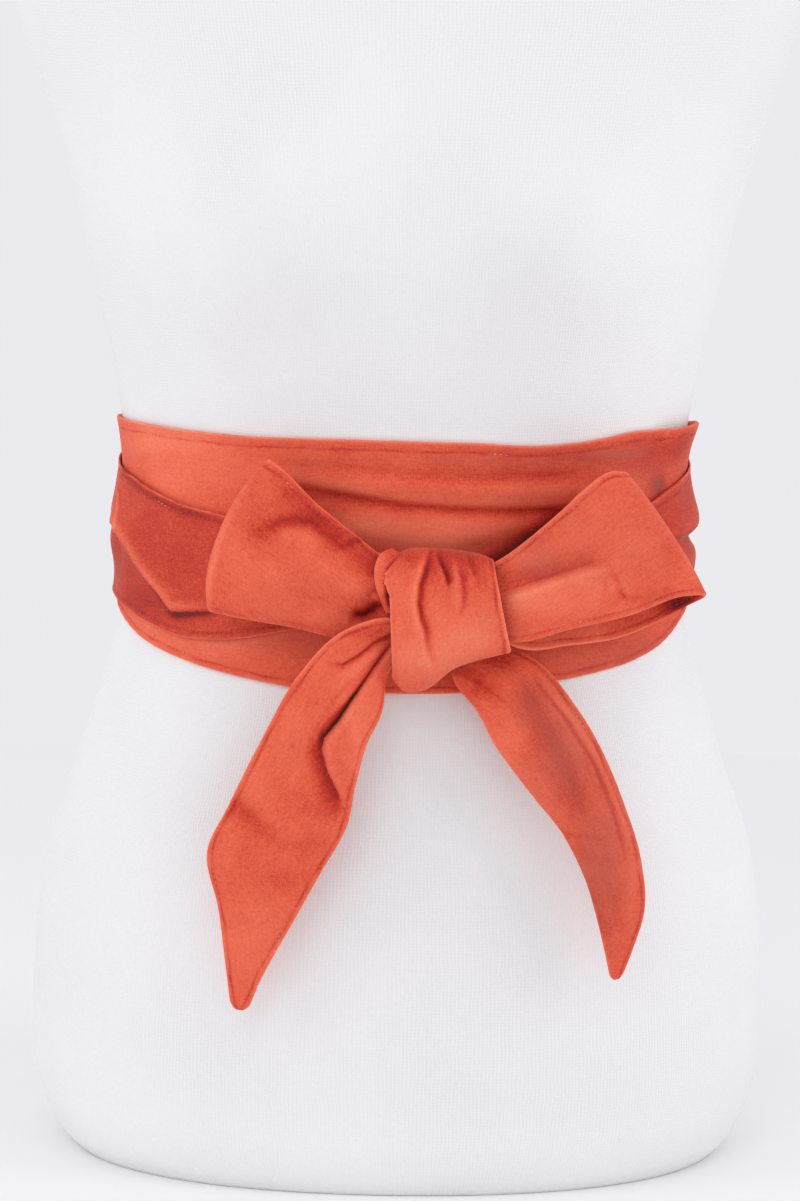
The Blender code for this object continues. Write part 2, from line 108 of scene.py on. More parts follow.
belt = {
    "thickness": 2.4,       # two plies of velvet, turned and pressed
    "thinnest": 1e-6,       # below this the two faces meet
    "bodyGap": 0.6,         # between the form and the first cloth
    "layer": 3.0,           # from one wound layer to the next
    "tieLayer": 1.1,        # the ties' layer in front
    "seamGap": 0.4,         # between the panel's end and a tie
    "arcPerDegree": 2.4,    # cloth that a degree of the turn takes
    "panelEnd": 115,        # the panel ends this far from the front, on both sides
    "backFollows": 0.8,     # share of a fold that the cloth's back follows
    "roll": 1.25,           # the turned edge is round over this width
    "puff": 0.14,           # and swells a little before the topstitch
    "puffPlace": 0.55,      # both as shares of the way to the topstitch
    "puffReach": 0.35,
    "groove": 0.28,         # depth of the topstitch's line where it is pulled tight
    "grooveWidth": 0.42,
    "pull": 0.72,           # how tight the thread is on the whole
    "pullChange": 0.28,     # how much that changes, and over which length
    "pullLength": 4.1,
    "pullDrift": 2,         # the changes come now faster, now slower
    "pullDriftLength": 23,
    "wander": [(0.22, 7.3, 0), (0.14, 2.9, 1)],  # how far the topstitch strays, over which length, phase
    "rimHighlight": 0.22,        # painted highlight along the rim, full up to rimFull from the edge
    "rimFull": 0.3,
    "rimWidth": 1.5,
    "stitchShade": -0.22,    # and painted shade on the cloth beside the thread, in its groove
    "stitchReach": 0.65,
    "puckerReach": 6,       # puckers fade out this far from the edge
    "rimColumns": (0, 0.1, 0.35, 0.75, 1.2),  # columns of points, from the edge
    "sewnColumns": (-0.75, -0.36, -0.15, 0, 0.15, 0.36, 0.85, 1.8),  # and from the topstitch
    "leastMiddle": 0.5,     # left between the columns of both edges
    "fewestColumns": 3,
    "acrossStep": 1.7,      # the middle's columns are about this far apart
    "endRoll": 0.9,         # the cloth's ends are round over this width
    "endSteps": (0, 0.1, 0.35, 0.9),  # rows of points, from an end
    "fewestRows": 4,
    "rowStep": 1.5,
    "unsewnRows": 3,        # rows at each end without stitches
    "shadingPerBend": 1.7,     # how much painted highlight a roll gets and painted shade a trough gets
    "bendHighlight": 0.13,
    "bendShade": 0.15,
}
grooveColumn = len(belt["rimColumns"]) + 1 + belt["sewnColumns"].index(0)  # the topstitch's column


def hemSteps(at):
    # columns from an edge inwards, closest at the rim and at the topstitch
    at = np.asarray(at, float)[:, None]
    rim, sewn = np.array(belt["rimColumns"]), np.array(belt["sewnColumns"])
    halfway = (rim[-1] + at + sewn[0]) / 2
    return np.concatenate([rim + 0 * at, halfway, at + sewn], axis=1)


def clothHalf(places, end, hem, uneven):
    # half of the cloth's thickness from the distances to its edges, its ends and its two topstitches
    fromStart, fromStop = places["fromStart"], places["fromStop"]
    near = np.clip(np.minimum(fromStart, fromStop) / belt["roll"], 0, 1)
    change = 0 * fromStart
    for side, distance in (("start", fromStart), ("stop", fromStop)):
        at, pull = hem[side]
        swell = (distance - at * belt["puffPlace"]) / (at * belt["puffReach"])
        change = change + min(pull, 1) * belt["puff"] * np.exp(-(swell**2))
        off = (distance - places[side + "At"][:, None]) / belt["grooveWidth"]
        change = change - pull * belt["groove"] * uneven * np.exp(-(off**2))
    nearEnd = np.clip(end / belt["endRoll"], 0, 1)
    half = belt["thickness"] / 2 * np.sqrt(1 - (1 - near) ** 2) + change * near
    return half * np.sqrt(1 - (1 - nearEnd) ** 2)


def hemHighlightAndShade(places, hem, uneven):
    # painted highlight along the rim, painted shade where the stitches pull
    edge = np.minimum(places["fromStart"], places["fromStop"])
    tone = belt["rimHighlight"] * (1 - fadeIn(edge, belt["rimFull"], belt["rimWidth"]))
    for side, distance in (("start", places["fromStart"]), ("stop", places["fromStop"])):
        off = (distance - places[side + "At"][:, None]) / belt["stitchReach"]
        tone = tone + belt["stitchShade"] * min(hem[side][1], 1) * uneven * np.exp(-(off**2))
    return tone


def rowsAlong(length, step):
    # where a piece's rows of points lie, close together at both ends
    ends = np.array(belt["endSteps"])
    count = max(belt["fewestRows"], int(length / step))
    inner = np.linspace(ends[-1], length - ends[-1], count)[1:-1]
    return np.concatenate([ends, inner, length - ends[::-1]])


def placesAcross(width, step, hem, along):
    # for each row, places across its width and their distances to both edges
    wander = sum(far * np.sin(along / length + phase) for far, length, phase in belt["wander"])
    at = {side: hem[side][0] + wander for side in ("start", "stop")}
    start, stop = hemSteps(at["start"]), hemSteps(at["stop"])
    zones = start[:, -1] + stop[:, -1]
    squeeze = np.minimum(1, width / (zones + belt["leastMiddle"]))[:, None]
    start, stop = start * squeeze, stop * squeeze
    count = max(belt["fewestColumns"], int((width.max() - zones.max()) / step))
    share = np.linspace(0, 1, count + 2)[None, 1:-1]
    middle = start[:, -1:] + (width[:, None] - start[:, -1:] - stop[:, -1:]) * share
    place = np.concatenate([start, middle, width[:, None] - stop[:, ::-1]], axis=1)
    return {
        "place": place, "fromStart": place / squeeze, "fromStop": (width[:, None] - place) / squeeze,
        "startAt": at["start"], "stopAt": at["stop"],
    }


def stitchUneven(along):
    # the thread pulls harder in some places than in others
    drift = belt["pullDrift"] * np.sin(along / belt["pullDriftLength"])
    return (belt["pull"] + belt["pullChange"] * np.sin(along / belt["pullLength"] + drift))[:, None]


def unevenness(x, z, edge, seed, settings):
    # soft waves all over, and small puckers along the edges
    wide = waves(x, z, settings["unevenLength"], seed) * settings["uneven"]
    pucker = waves(x, z, settings["puckerLength"], seed + 1) * settings["pucker"]
    return wide + pucker * np.exp(-((edge / belt["puckerReach"]) ** 2))


def gridNormals(grid, shortest=1e-9):
    normal = np.cross(np.gradient(grid, axis=0), np.gradient(grid, axis=1))
    return normal / np.maximum(np.linalg.norm(normal, axis=-1, keepdims=True), shortest)


def bendOf(grid, outward, leastStep=1e-4, smoothings=2):
    # above 0 where the surface bulges towards outward, below 0 in a trough
    normal = gridNormals(grid)
    if (normal * outward).sum() < 0:
        normal = -normal
    bend = 0
    for axis in (0, 1):
        step = np.gradient(grid, axis=axis)
        turn = np.gradient(normal, axis=axis)
        bend = bend + (turn * step).sum(-1) / np.maximum((step * step).sum(-1), leastStep)
    for _ in range(smoothings):
        wide = np.pad(bend, 1, mode="edge")
        bend = (4 * bend + wide[:-2, 1:-1] + wide[2:, 1:-1] + wide[1:-1, :-2] + wide[1:-1, 2:]) / 8
    return bend


def patchTone(x, z, patches):
    tone = 0 * x
    for atX, atZ, wide, tall, strength in patches:
        tone = tone + strength * np.exp(-(((x - atX) / wide) ** 2) - ((z - atZ) / tall) ** 2)
    return tone


def newObject(name, data):
    made = bpy.data.objects.new(name, data)
    bpy.context.scene.collection.objects.link(made)
    return made


def setMap(mesh, name, places):
    mesh.uv_layers.new(name=name).data.foreach_set("uv", places.astype(np.float32).ravel())


def setLevel(mesh, name, levels):
    mesh.attributes.new(name, "FLOAT", "POINT").data.foreach_set("value", levels.astype(np.float32))


def clothPiece(name, front, back, flatX, flatZ, tone, dust):
    # a closed shell from its two faces, which meet along the rim
    rows, cols = front.shape[:2]
    inside = (rows - 2, cols - 2)
    # painted highlight where the cloth rolls out, painted shade in its troughs
    bend = bendOf((front + back) / 2, front - back) * belt["shadingPerBend"]
    tones = []
    for side in (bend, -bend):
        tones.append(tone + np.where(side > 0, belt["bendHighlight"], belt["bendShade"]) * np.tanh(side))
    dust = dust + 0 * tone
    frontIndex = np.arange(rows * cols).reshape(rows, cols)
    backIndex = frontIndex.copy()
    backIndex[1:-1, 1:-1] = rows * cols + np.arange(inside[0] * inside[1]).reshape(inside)

    def quads(index):
        corners = [index[:-1, :-1], index[1:, :-1], index[1:, 1:], index[:-1, 1:]]
        return np.stack(corners, axis=-1).reshape(-1, 4)

    def bothFaces(ahead, behind):
        return np.concatenate([ahead.ravel(), behind[1:-1, 1:-1].ravel()])

    points = bothFaces(front, back).reshape(-1, 3)
    faces = np.concatenate([quads(frontIndex), quads(backIndex)[:, ::-1]])
    corners = np.concatenate([quads(frontIndex), quads(frontIndex)[:, ::-1]]).ravel()
    flat = np.stack([flatX, flatZ], axis=-1).reshape(-1, 2)
    mesh = bpy.data.meshes.new(name)
    mesh.from_pydata((points * mm).tolist(), [], faces.tolist())
    setMap(mesh, "cloth", flat[corners] * mm)
    setLevel(mesh, "tone", bothFaces(*tones))
    # the painted sheen, as a level for each point
    setLevel(mesh, "dust", bothFaces(dust, dust))
    turnOutwards(mesh)
    mesh.shade_smooth()
    mesh.materials.append(velvetMaterial())
    return newObject(name, mesh)


def standFor(made, node):
    # the piece takes the place of a solid
    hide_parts(node)
    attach(made, "root")


def turnOutwards(mesh):
    shape = bmesh.new()
    shape.from_mesh(mesh)
    bmesh.ops.recalc_face_normals(shape, faces=shape.faces)
    shape.to_mesh(mesh)
    shape.free()


# Shader and geometry trees, written as expressions

class Field:
    # one socket of a node tree, used in plain arithmetic
    def __init__(self, tree, socket):
        self.tree = tree
        self.socket = socket

    def math(self, operation, *values):
        node = self.tree.nodes.new("ShaderNodeMath")
        node.operation = operation
        for place, value in enumerate(values):
            plug(self.tree, node.inputs[place], value)
        return Field(self.tree, node.outputs[0])

    def __add__(self, other):
        return self.math("ADD", self, other)

    def __sub__(self, other):
        return self.math("SUBTRACT", self, other)

    def __rsub__(self, other):
        return self.math("SUBTRACT", other, self)

    def __mul__(self, other):
        return self.math("MULTIPLY", self, other)

    __radd__ = __add__
    __rmul__ = __mul__

    def cosine(self):
        return self.math("COSINE", self)


def plug(tree, socket, value):
    if isinstance(value, Field):
        tree.links.new(value.socket, socket)
    else:
        socket.default_value = value


class Tree:
    # makes any node from its type, its settings and the values or links of its sockets
    def __init__(self, tree):
        self.tree = tree

    def node(self, kind, settings=None, values=None, output=0):
        made = self.tree.nodes.new(kind)
        for key, setting in (settings or {}).items():
            if key == "stops":
                while len(made.color_ramp.elements) < len(setting):
                    made.color_ramp.elements.new(0.5)
                for element, (place, colour) in zip(made.color_ramp.elements, setting):
                    element.position = place
                    element.color = (*colour, 1)
            else:
                setattr(made, key, setting)
        for key, value in (values or {}).items():
            plug(self.tree, made.inputs[key], value)
        return Field(self.tree, made.outputs[output]) if len(made.outputs) else None


def newMaterial(name, colour):
    material = bpy.data.materials.new(name)
    material.use_nodes = True
    material.diffuse_color = (*colour, 1)
    tree = material.node_tree
    tree.nodes.clear()
    return material, Tree(tree)


def finishMaterial(tree, values):
    shader = tree.node("ShaderNodeBsdfPrincipled", {}, values)
    tree.node("ShaderNodeOutputMaterial", {}, {"Surface": shader})


def noise(tree, place, settings):
    return tree.node("ShaderNodeTexNoise", {}, {"Vector": place, **settings})


def ramp(tree, level, stops):
    return tree.node("ShaderNodeValToRGB", {"stops": stops}, {"Fac": level})


def blended(tree, share, first, second):
    values = {0: share, 6: first, 7: (*second, 1)}
    return tree.node("ShaderNodeMix", {"data_type": "RGBA"}, values, output=2)


velvetFinish = {
    "colour": (0.768, 0.112, 0.057),
    "stops": [
        (0.00, (0.150, 0.012, 0.011)),
        (0.14, (0.330, 0.020, 0.015)),
        (0.32, (0.560, 0.042, 0.022)),
        (0.52, (0.768, 0.112, 0.057)),
        (0.74, (0.885, 0.184, 0.101)),
        (1.00, (0.960, 0.290, 0.182)),
    ],
    "sheenColour": (0.480, 0.118, 0.082),  # painted sheen: a duller colour where the pile lies away from the light
    "sheenMost": 1.25,          # the painted sheen counts this much, less where the patches are light
    "sheenPatchy": 0.5,
    "patches": {"Scale": 30, "Detail": 3.0, "Roughness": 0.55, "Distortion": 0.6},  # brushed nap, per metre
    "mottle": {"Scale": 150, "Detail": 2.0, "Distortion": 0.4},
    "pile": {"Scale": 900, "Detail": 2.0, "Roughness": 0.7},
    "strokes": {"Scale": 1.0, "Detail": 3.0, "Roughness": 0.6},
    "strokeScale": (70, 520),  # faint strokes along the cloth
    "rows": {"Scale": 1.0, "Detail": 1.0},
    "rowScales": [(260, 1500), (1500, 260)],  # the pile stands in fine rows, both ways
    # how much each of them changes the tone, and how high it stands in the bump
    "amounts": {"patches": 0.11, "mottle": 0.035, "strokes": 0.08, "pile": 0.15, "weave": 0.22},
    "rises": {"pile": 0.7, "strokes": 0.5, "weave": 0.8},
    "bump": {"Strength": 0.6, "Distance": 0.0004},
    "shader": {
        "Roughness": 0.8,
        "Specular IOR Level": 0.18,
        "Sheen Weight": 0.32,
        "Sheen Roughness": 0.30,
        "Sheen Tint": (1.0, 0.58, 0.44, 1),
    },
}


def velvetMaterial():
    finish = velvetFinish
    made = bpy.data.materials.get("coral velvet")
    if made:
        return made
    material, tree = newMaterial("coral velvet", finish["colour"])
    place = tree.node("ShaderNodeTexCoord", output="Object")
    cloth = tree.node("ShaderNodeUVMap", {"uv_map": "cloth"})
    tone = tree.node("ShaderNodeAttribute", {"attribute_name": "tone"}, output="Fac")
    dust = tree.node("ShaderNodeAttribute", {"attribute_name": "dust"}, output="Fac")

    def alongCloth(scale, settings):
        stretched = tree.node("ShaderNodeMapping", {}, {"Vector": cloth, "Scale": (*scale, 1)})
        return noise(tree, stretched, settings)

    look = {name: noise(tree, place, finish[name]) for name in ("patches", "mottle", "pile")}
    look["strokes"] = alongCloth(finish["strokeScale"], finish["strokes"])
    lengthwise, crosswise = (alongCloth(scale, finish["rows"]) for scale in finish["rowScales"])
    look["weave"] = (lengthwise + crosswise) * 0.5
    level = 0.5 + tone
    for name, amount in finish["amounts"].items():
        level = level + (look[name] - 0.5) * (2 * amount)
    height = sum(look[name] * rise for name, rise in finish["rises"].items())
    # painted sheen: duller where the pile lies away from the light
    sheenShare = dust * (finish["sheenMost"] - look["patches"] * finish["sheenPatchy"])
    finishMaterial(tree, {
        "Base Color": blended(tree, sheenShare, ramp(tree, level, finish["stops"]), finish["sheenColour"]),
        "Normal": tree.node("ShaderNodeBump", {}, {"Height": height, **finish["bump"]}),
        **finish["shader"],
    })
    return material


threadFinish = {
    "colour": (0.45, 0.05, 0.03),
    "twist": {"Scale": 1800.0, "Detail": 2.0},
    "stops": [(0.3, (0.50, 0.046, 0.026)), (0.7, (0.70, 0.100, 0.056))],
    "rubbed": {"Scale": 38.0, "Detail": 1.0},  # here and there the thread is rubbed pale
    "rubbedFrom": {"From Min": 0.63, "From Max": 0.72},
    "pale": (0.90, 0.40, 0.29),
    "shader": {"Roughness": 0.55, "Sheen Weight": 0.15},
}


def threadMaterial():
    finish = threadFinish
    material, tree = newMaterial("sewing thread", finish["colour"])
    place = tree.node("ShaderNodeTexCoord", output="Object")
    colour = ramp(tree, noise(tree, place, finish["twist"]), finish["stops"])
    rubbed = noise(tree, place, finish["rubbed"])
    pale = tree.node("ShaderNodeMapRange", {}, {"Value": rubbed, **finish["rubbedFrom"]})
    finishMaterial(tree, {"Base Color": blended(tree, pale, colour, finish["pale"]), **finish["shader"]})
    return material


# Topstitch: small stitches along every path, by Geometry Nodes

stitch = {
    "pitch": 3.1,
    "length": 2.1,
    "thickness": 0.32,
    "jitter": 0.12,         # change in length from stitch to stitch, as a share
    "seed": 4,
    "sides": 6,             # faces round a stitch and along it
    "rings": 5,
}
stitchPaths = []  # points of each sewn line, in millimetres


def stitchTree():
    group = bpy.data.node_groups.new("topstitch", "GeometryNodeTree")
    group.interface.new_socket("Geometry", in_out="INPUT", socket_type="NodeSocketGeometry")
    for name in ("Pitch", "Length", "Thickness", "Jitter"):
        group.interface.new_socket(name, in_out="INPUT", socket_type="NodeSocketFloat")
    for name in ("Seed", "Sides", "Rings"):
        group.interface.new_socket(name, in_out="INPUT", socket_type="NodeSocketInt")
    group.interface.new_socket("Thread", in_out="INPUT", socket_type="NodeSocketMaterial")
    group.interface.new_socket("Geometry", in_out="OUTPUT", socket_type="NodeSocketGeometry")
    tree = Tree(group)
    given = group.nodes.new("NodeGroupInput")
    inputs = {socket.name: Field(group, socket) for socket in given.outputs if socket.name}
    curve = tree.node("GeometryNodeMeshToCurve", {}, {"Mesh": inputs["Geometry"]})
    spaced = tree.node("GeometryNodeResampleCurve", {"mode": "LENGTH"}, {
        "Curve": curve, "Length": inputs["Pitch"]})
    tangent = tree.node("GeometryNodeInputTangent")
    turned = tree.node("FunctionNodeAlignRotationToVector", {"axis": "X"}, {"Vector": tangent})
    bead = tree.node("GeometryNodeMeshUVSphere", {}, {
        "Segments": inputs["Sides"], "Rings": inputs["Rings"], "Radius": 0.5})
    ball = tree.node("GeometryNodeSetShadeSmooth", {}, {"Geometry": bead})
    jitter = tree.node("FunctionNodeRandomValue", {"data_type": "FLOAT"}, {
        2: 1 - inputs["Jitter"], 3: 1 + inputs["Jitter"], "Seed": inputs["Seed"]}, output=1)
    size = tree.node("ShaderNodeCombineXYZ", {}, {
        "X": inputs["Length"] * jitter, "Y": inputs["Thickness"], "Z": inputs["Thickness"]})
    placed = tree.node("GeometryNodeInstanceOnPoints", {}, {
        "Points": spaced, "Instance": ball, "Rotation": turned, "Scale": size})
    real = tree.node("GeometryNodeRealizeInstances", {}, {"Geometry": placed})
    painted = tree.node("GeometryNodeSetMaterial", {}, {"Geometry": real, "Material": inputs["Thread"]})
    out = group.nodes.new("NodeGroupOutput")
    group.links.new(painted.socket, out.inputs[0])
    return group


def bakeNodes(name, source, group, values):
    # runs a node tree on source and keeps its result as a plain mesh
    modifier = source.modifiers.new(group.name, "NODES")
    modifier.node_group = group
    for item in group.interface.items_tree:
        if item.item_type == "SOCKET" and item.in_out == "INPUT" and item.name in values:
            modifier[item.identifier] = values[item.name]
    bpy.context.view_layer.update()
    graph = bpy.context.evaluated_depsgraph_get()
    mesh = bpy.data.meshes.new_from_object(source.evaluated_get(graph))
    source.modifiers.remove(modifier)
    bpy.data.objects.remove(source)
    return newObject(name, mesh)


def makeStitches():
    points = np.concatenate(stitchPaths)
    edges = []
    start = 0
    for path in stitchPaths:
        edges += [(start + i, start + i + 1) for i in range(len(path) - 1)]
        start += len(path)
    mesh = bpy.data.meshes.new("stitch paths")
    mesh.from_pydata((points * mm).tolist(), edges, [])
    sizes = {name.title(): stitch[name] * mm for name in ("pitch", "length", "thickness")}
    counts = {name.title(): stitch[name] for name in ("jitter", "seed", "sides", "rings")}
    source = newObject("stitch paths", mesh)
    made = bakeNodes("topstitch", source, stitchTree(), {**sizes, **counts, "Thread": threadMaterial()})
    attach(made, "root")


# Dress form

dressForm = {
    "rings": [  # height, half width, depth in front and behind, fullness at the corners
        (0, 178, 128, 132, 0.03), (7, 185, 133, 138, 0.03), (19, 192, 136, 142, 0.03),
        (42, 199, 136, 144, 0.025), (76, 201, 137, 147, 0.02), (110, 200, 136, 148, 0.015),
        (144, 197, 134, 146, 0.01), (178, 190, 132, 141, 0.005), (212, 178, 130, 134, 0),
        (245, 168, 128, 126, 0), (279, 158, 125, 119, 0), (315, 151, 121, 113, 0),
        (347, 149, 118, 110, 0), (378, 151, 118, 110, 0), (402, 154, 120, 111, 0),
        (439, 161, 124, 113, 0), (466, 167, 127, 114, 0), (493, 173, 129, 115, 0),
        (520, 179, 129, 116, 0), (548, 187, 127, 118, 0), (576, 196, 123, 119, 0),
        (604, 206, 117, 120, 0), (632, 215, 109, 119, 0), (660, 220, 100, 115, 0),
        (684, 218, 90, 107, 0), (704, 205, 80, 97, 0), (722, 176, 71, 85, 0),
        (738, 132, 63, 72, 0), (751, 92, 57, 62, 0), (766, 68, 53, 56, 0),
        (788, 60, 50, 53, 0), (812, 58, 49, 51, 0), (820, 56, 47, 49, 0),
    ],
    "bust": {"apart": 90, "height": 524, "reach": 27, "wide": 62, "tall": 60},
    "sides": 192,
    "baseSteps": (0, 1.2, 3, 5),  # rings close together at the base
    "ringsFrom": 8,
    "ringStep": 4.0,
    "topRounding": 5.0,
    "roundSteps": (0, 30, 60, 90),
    "wales": 600,            # knit columns all round
    "course": 1.7,           # height of a knit row
}
jerseyFinish = {
    "colour": (0.86, 0.86, 0.855),
    "wander": {"Scale": 70.0, "Detail": 2.0},
    "cover": {"Scale": 9.0, "Detail": 2.0},  # the knit shows in patches
    "grain": {"Scale": 900.0, "Detail": 2.0},
    "wales": (1.6, 0.68),    # how far they wander, and their share in the knit
    "courses": (1.8, 0.32),
    "shown": {"From Min": 0.38, "From Max": 0.62, "To Min": 0.2, "To Max": 1.0},
    "knitShade": 0.06,       # places on the ramp below
    "grainShade": 0.06,
    "shade": 0.01,
    "stops": [(0.0, (0.875, 0.876, 0.876)), (0.12, (0.735, 0.732, 0.738))],
    "grainRise": 0.6,
    "bump": {"Strength": 0.4, "Distance": 0.0004},
    "shader": {"Roughness": 0.9, "Specular IOR Level": 0.15, "Sheen Weight": 0.12, "Sheen Roughness": 0.5},
}


def formOutline(angle, height):
    # a point on the form, and the direction that leads straight off it
    rings = np.array(dressForm["rings"], float)
    bust = dressForm["bust"]
    wide, front, back, fullness = (
        smoothThrough(rings[:, 0], rings[:, column], height) for column in (1, 2, 3, 4))
    turn = np.radians(angle)
    deep = np.where(np.cos(turn) > 0, front, back)
    swell = 1 + fullness * np.sin(2 * turn) ** 2
    x = wide * np.sin(turn) * swell
    ahead = deep * np.cos(turn) * swell
    aside = (abs(x) - bust["apart"]) / bust["wide"]
    above = (height - bust["height"]) / bust["tall"]
    ahead = ahead + bust["reach"] * np.exp(-(aside**2) - above**2) * np.clip(np.cos(turn), 0, 1)
    outX, outAhead = np.sin(turn) / wide, np.cos(turn) / deep
    size = np.hypot(outX, outAhead)
    return x, ahead, outX / size, outAhead / size


def onForm(angle, height, out):
    x, ahead, outX, outAhead = formOutline(angle, height)
    return np.stack([x + out * outX, -(ahead + out * outAhead), height + 0 * x], axis=-1)


def jerseyMaterial():
    finish = jerseyFinish
    material, tree = newMaterial("white jersey", finish["colour"])
    knit = tree.node("ShaderNodeUVMap", {"uv_map": "knit"})
    place = tree.node("ShaderNodeTexCoord", output="Object")
    wander, cover, grain = (noise(tree, place, finish[name]) for name in ("wander", "cover", "grain"))
    ribs = []
    for name, axis in (("wales", "X"), ("courses", "Y")):
        across = tree.node("ShaderNodeSeparateXYZ", {}, {"Vector": knit}, output=axis)
        far, share = finish[name]
        ribs.append((((across + wander * far) * (2 * math.pi)).cosine() * 0.5 + 0.5) * share)
    mesh = ribs[0] + ribs[1]
    shown = tree.node("ShaderNodeMapRange", {}, {"Value": cover, **finish["shown"]})
    shade = (1 - mesh) * shown * finish["knitShade"] + (grain - 0.5) * finish["grainShade"]
    height = mesh + grain * finish["grainRise"]
    finishMaterial(tree, {
        "Base Color": ramp(tree, shade + finish["shade"], finish["stops"]),
        "Normal": tree.node("ShaderNodeBump", {}, {"Height": height, **finish["bump"]}),
        **finish["shader"],
    })
    return material


def makeForm():
    sides = dressForm["sides"]
    top = dressForm["rings"][-1][0]
    rounding = dressForm["topRounding"]
    bend = np.radians(dressForm["roundSteps"])
    heights = np.concatenate([
        dressForm["baseSteps"],
        np.arange(dressForm["ringsFrom"], top - rounding, dressForm["ringStep"]),
        top - rounding * (1 - np.sin(bend)),
    ])
    inset = np.zeros(len(heights))
    inset[-len(bend):] = rounding * (1 - np.cos(bend))
    angle, height = np.meshgrid(np.arange(sides) * 360 / sides, heights)
    rings = len(heights)
    skin = onForm(angle, height, -inset[:, None]).reshape(-1, 3)
    points = np.concatenate([skin, [[0, 0, 0], [0, 0, top]]])
    wale, course = dressForm["wales"] / sides, dressForm["course"]
    faces = []
    flat = []
    for ring in range(rings - 1):
        bottom, upper = heights[ring] / course, heights[ring + 1] / course
        low, high = ring * sides, (ring + 1) * sides
        for side in range(sides):
            after = (side + 1) % sides
            faces.append((low + side, low + after, high + after, high + side))
            left, right = side * wale, (side + 1) * wale
            flat += [(left, bottom), (right, bottom), (right, upper), (left, upper)]
    for ring, tip in ((0, rings * sides), (rings - 1, rings * sides + 1)):
        for side in range(sides):
            pair = [ring * sides + side, ring * sides + (side + 1) % sides]
            corners = [*(reversed(pair) if ring == 0 else pair), tip]
            faces.append(tuple(corners))
            flat += [(x / course, y / course) for x, y, z in points[corners]]
    mesh = bpy.data.meshes.new("dressFormJersey")
    mesh.from_pydata((points * mm).tolist(), [], faces)
    setMap(mesh, "knit", np.array(flat))
    mesh.shade_smooth()
    mesh.materials.append(jerseyMaterial())
    standFor(newObject("dressFormJersey", mesh), "dress_form")


# Wound pieces: the centre panel and the two ties

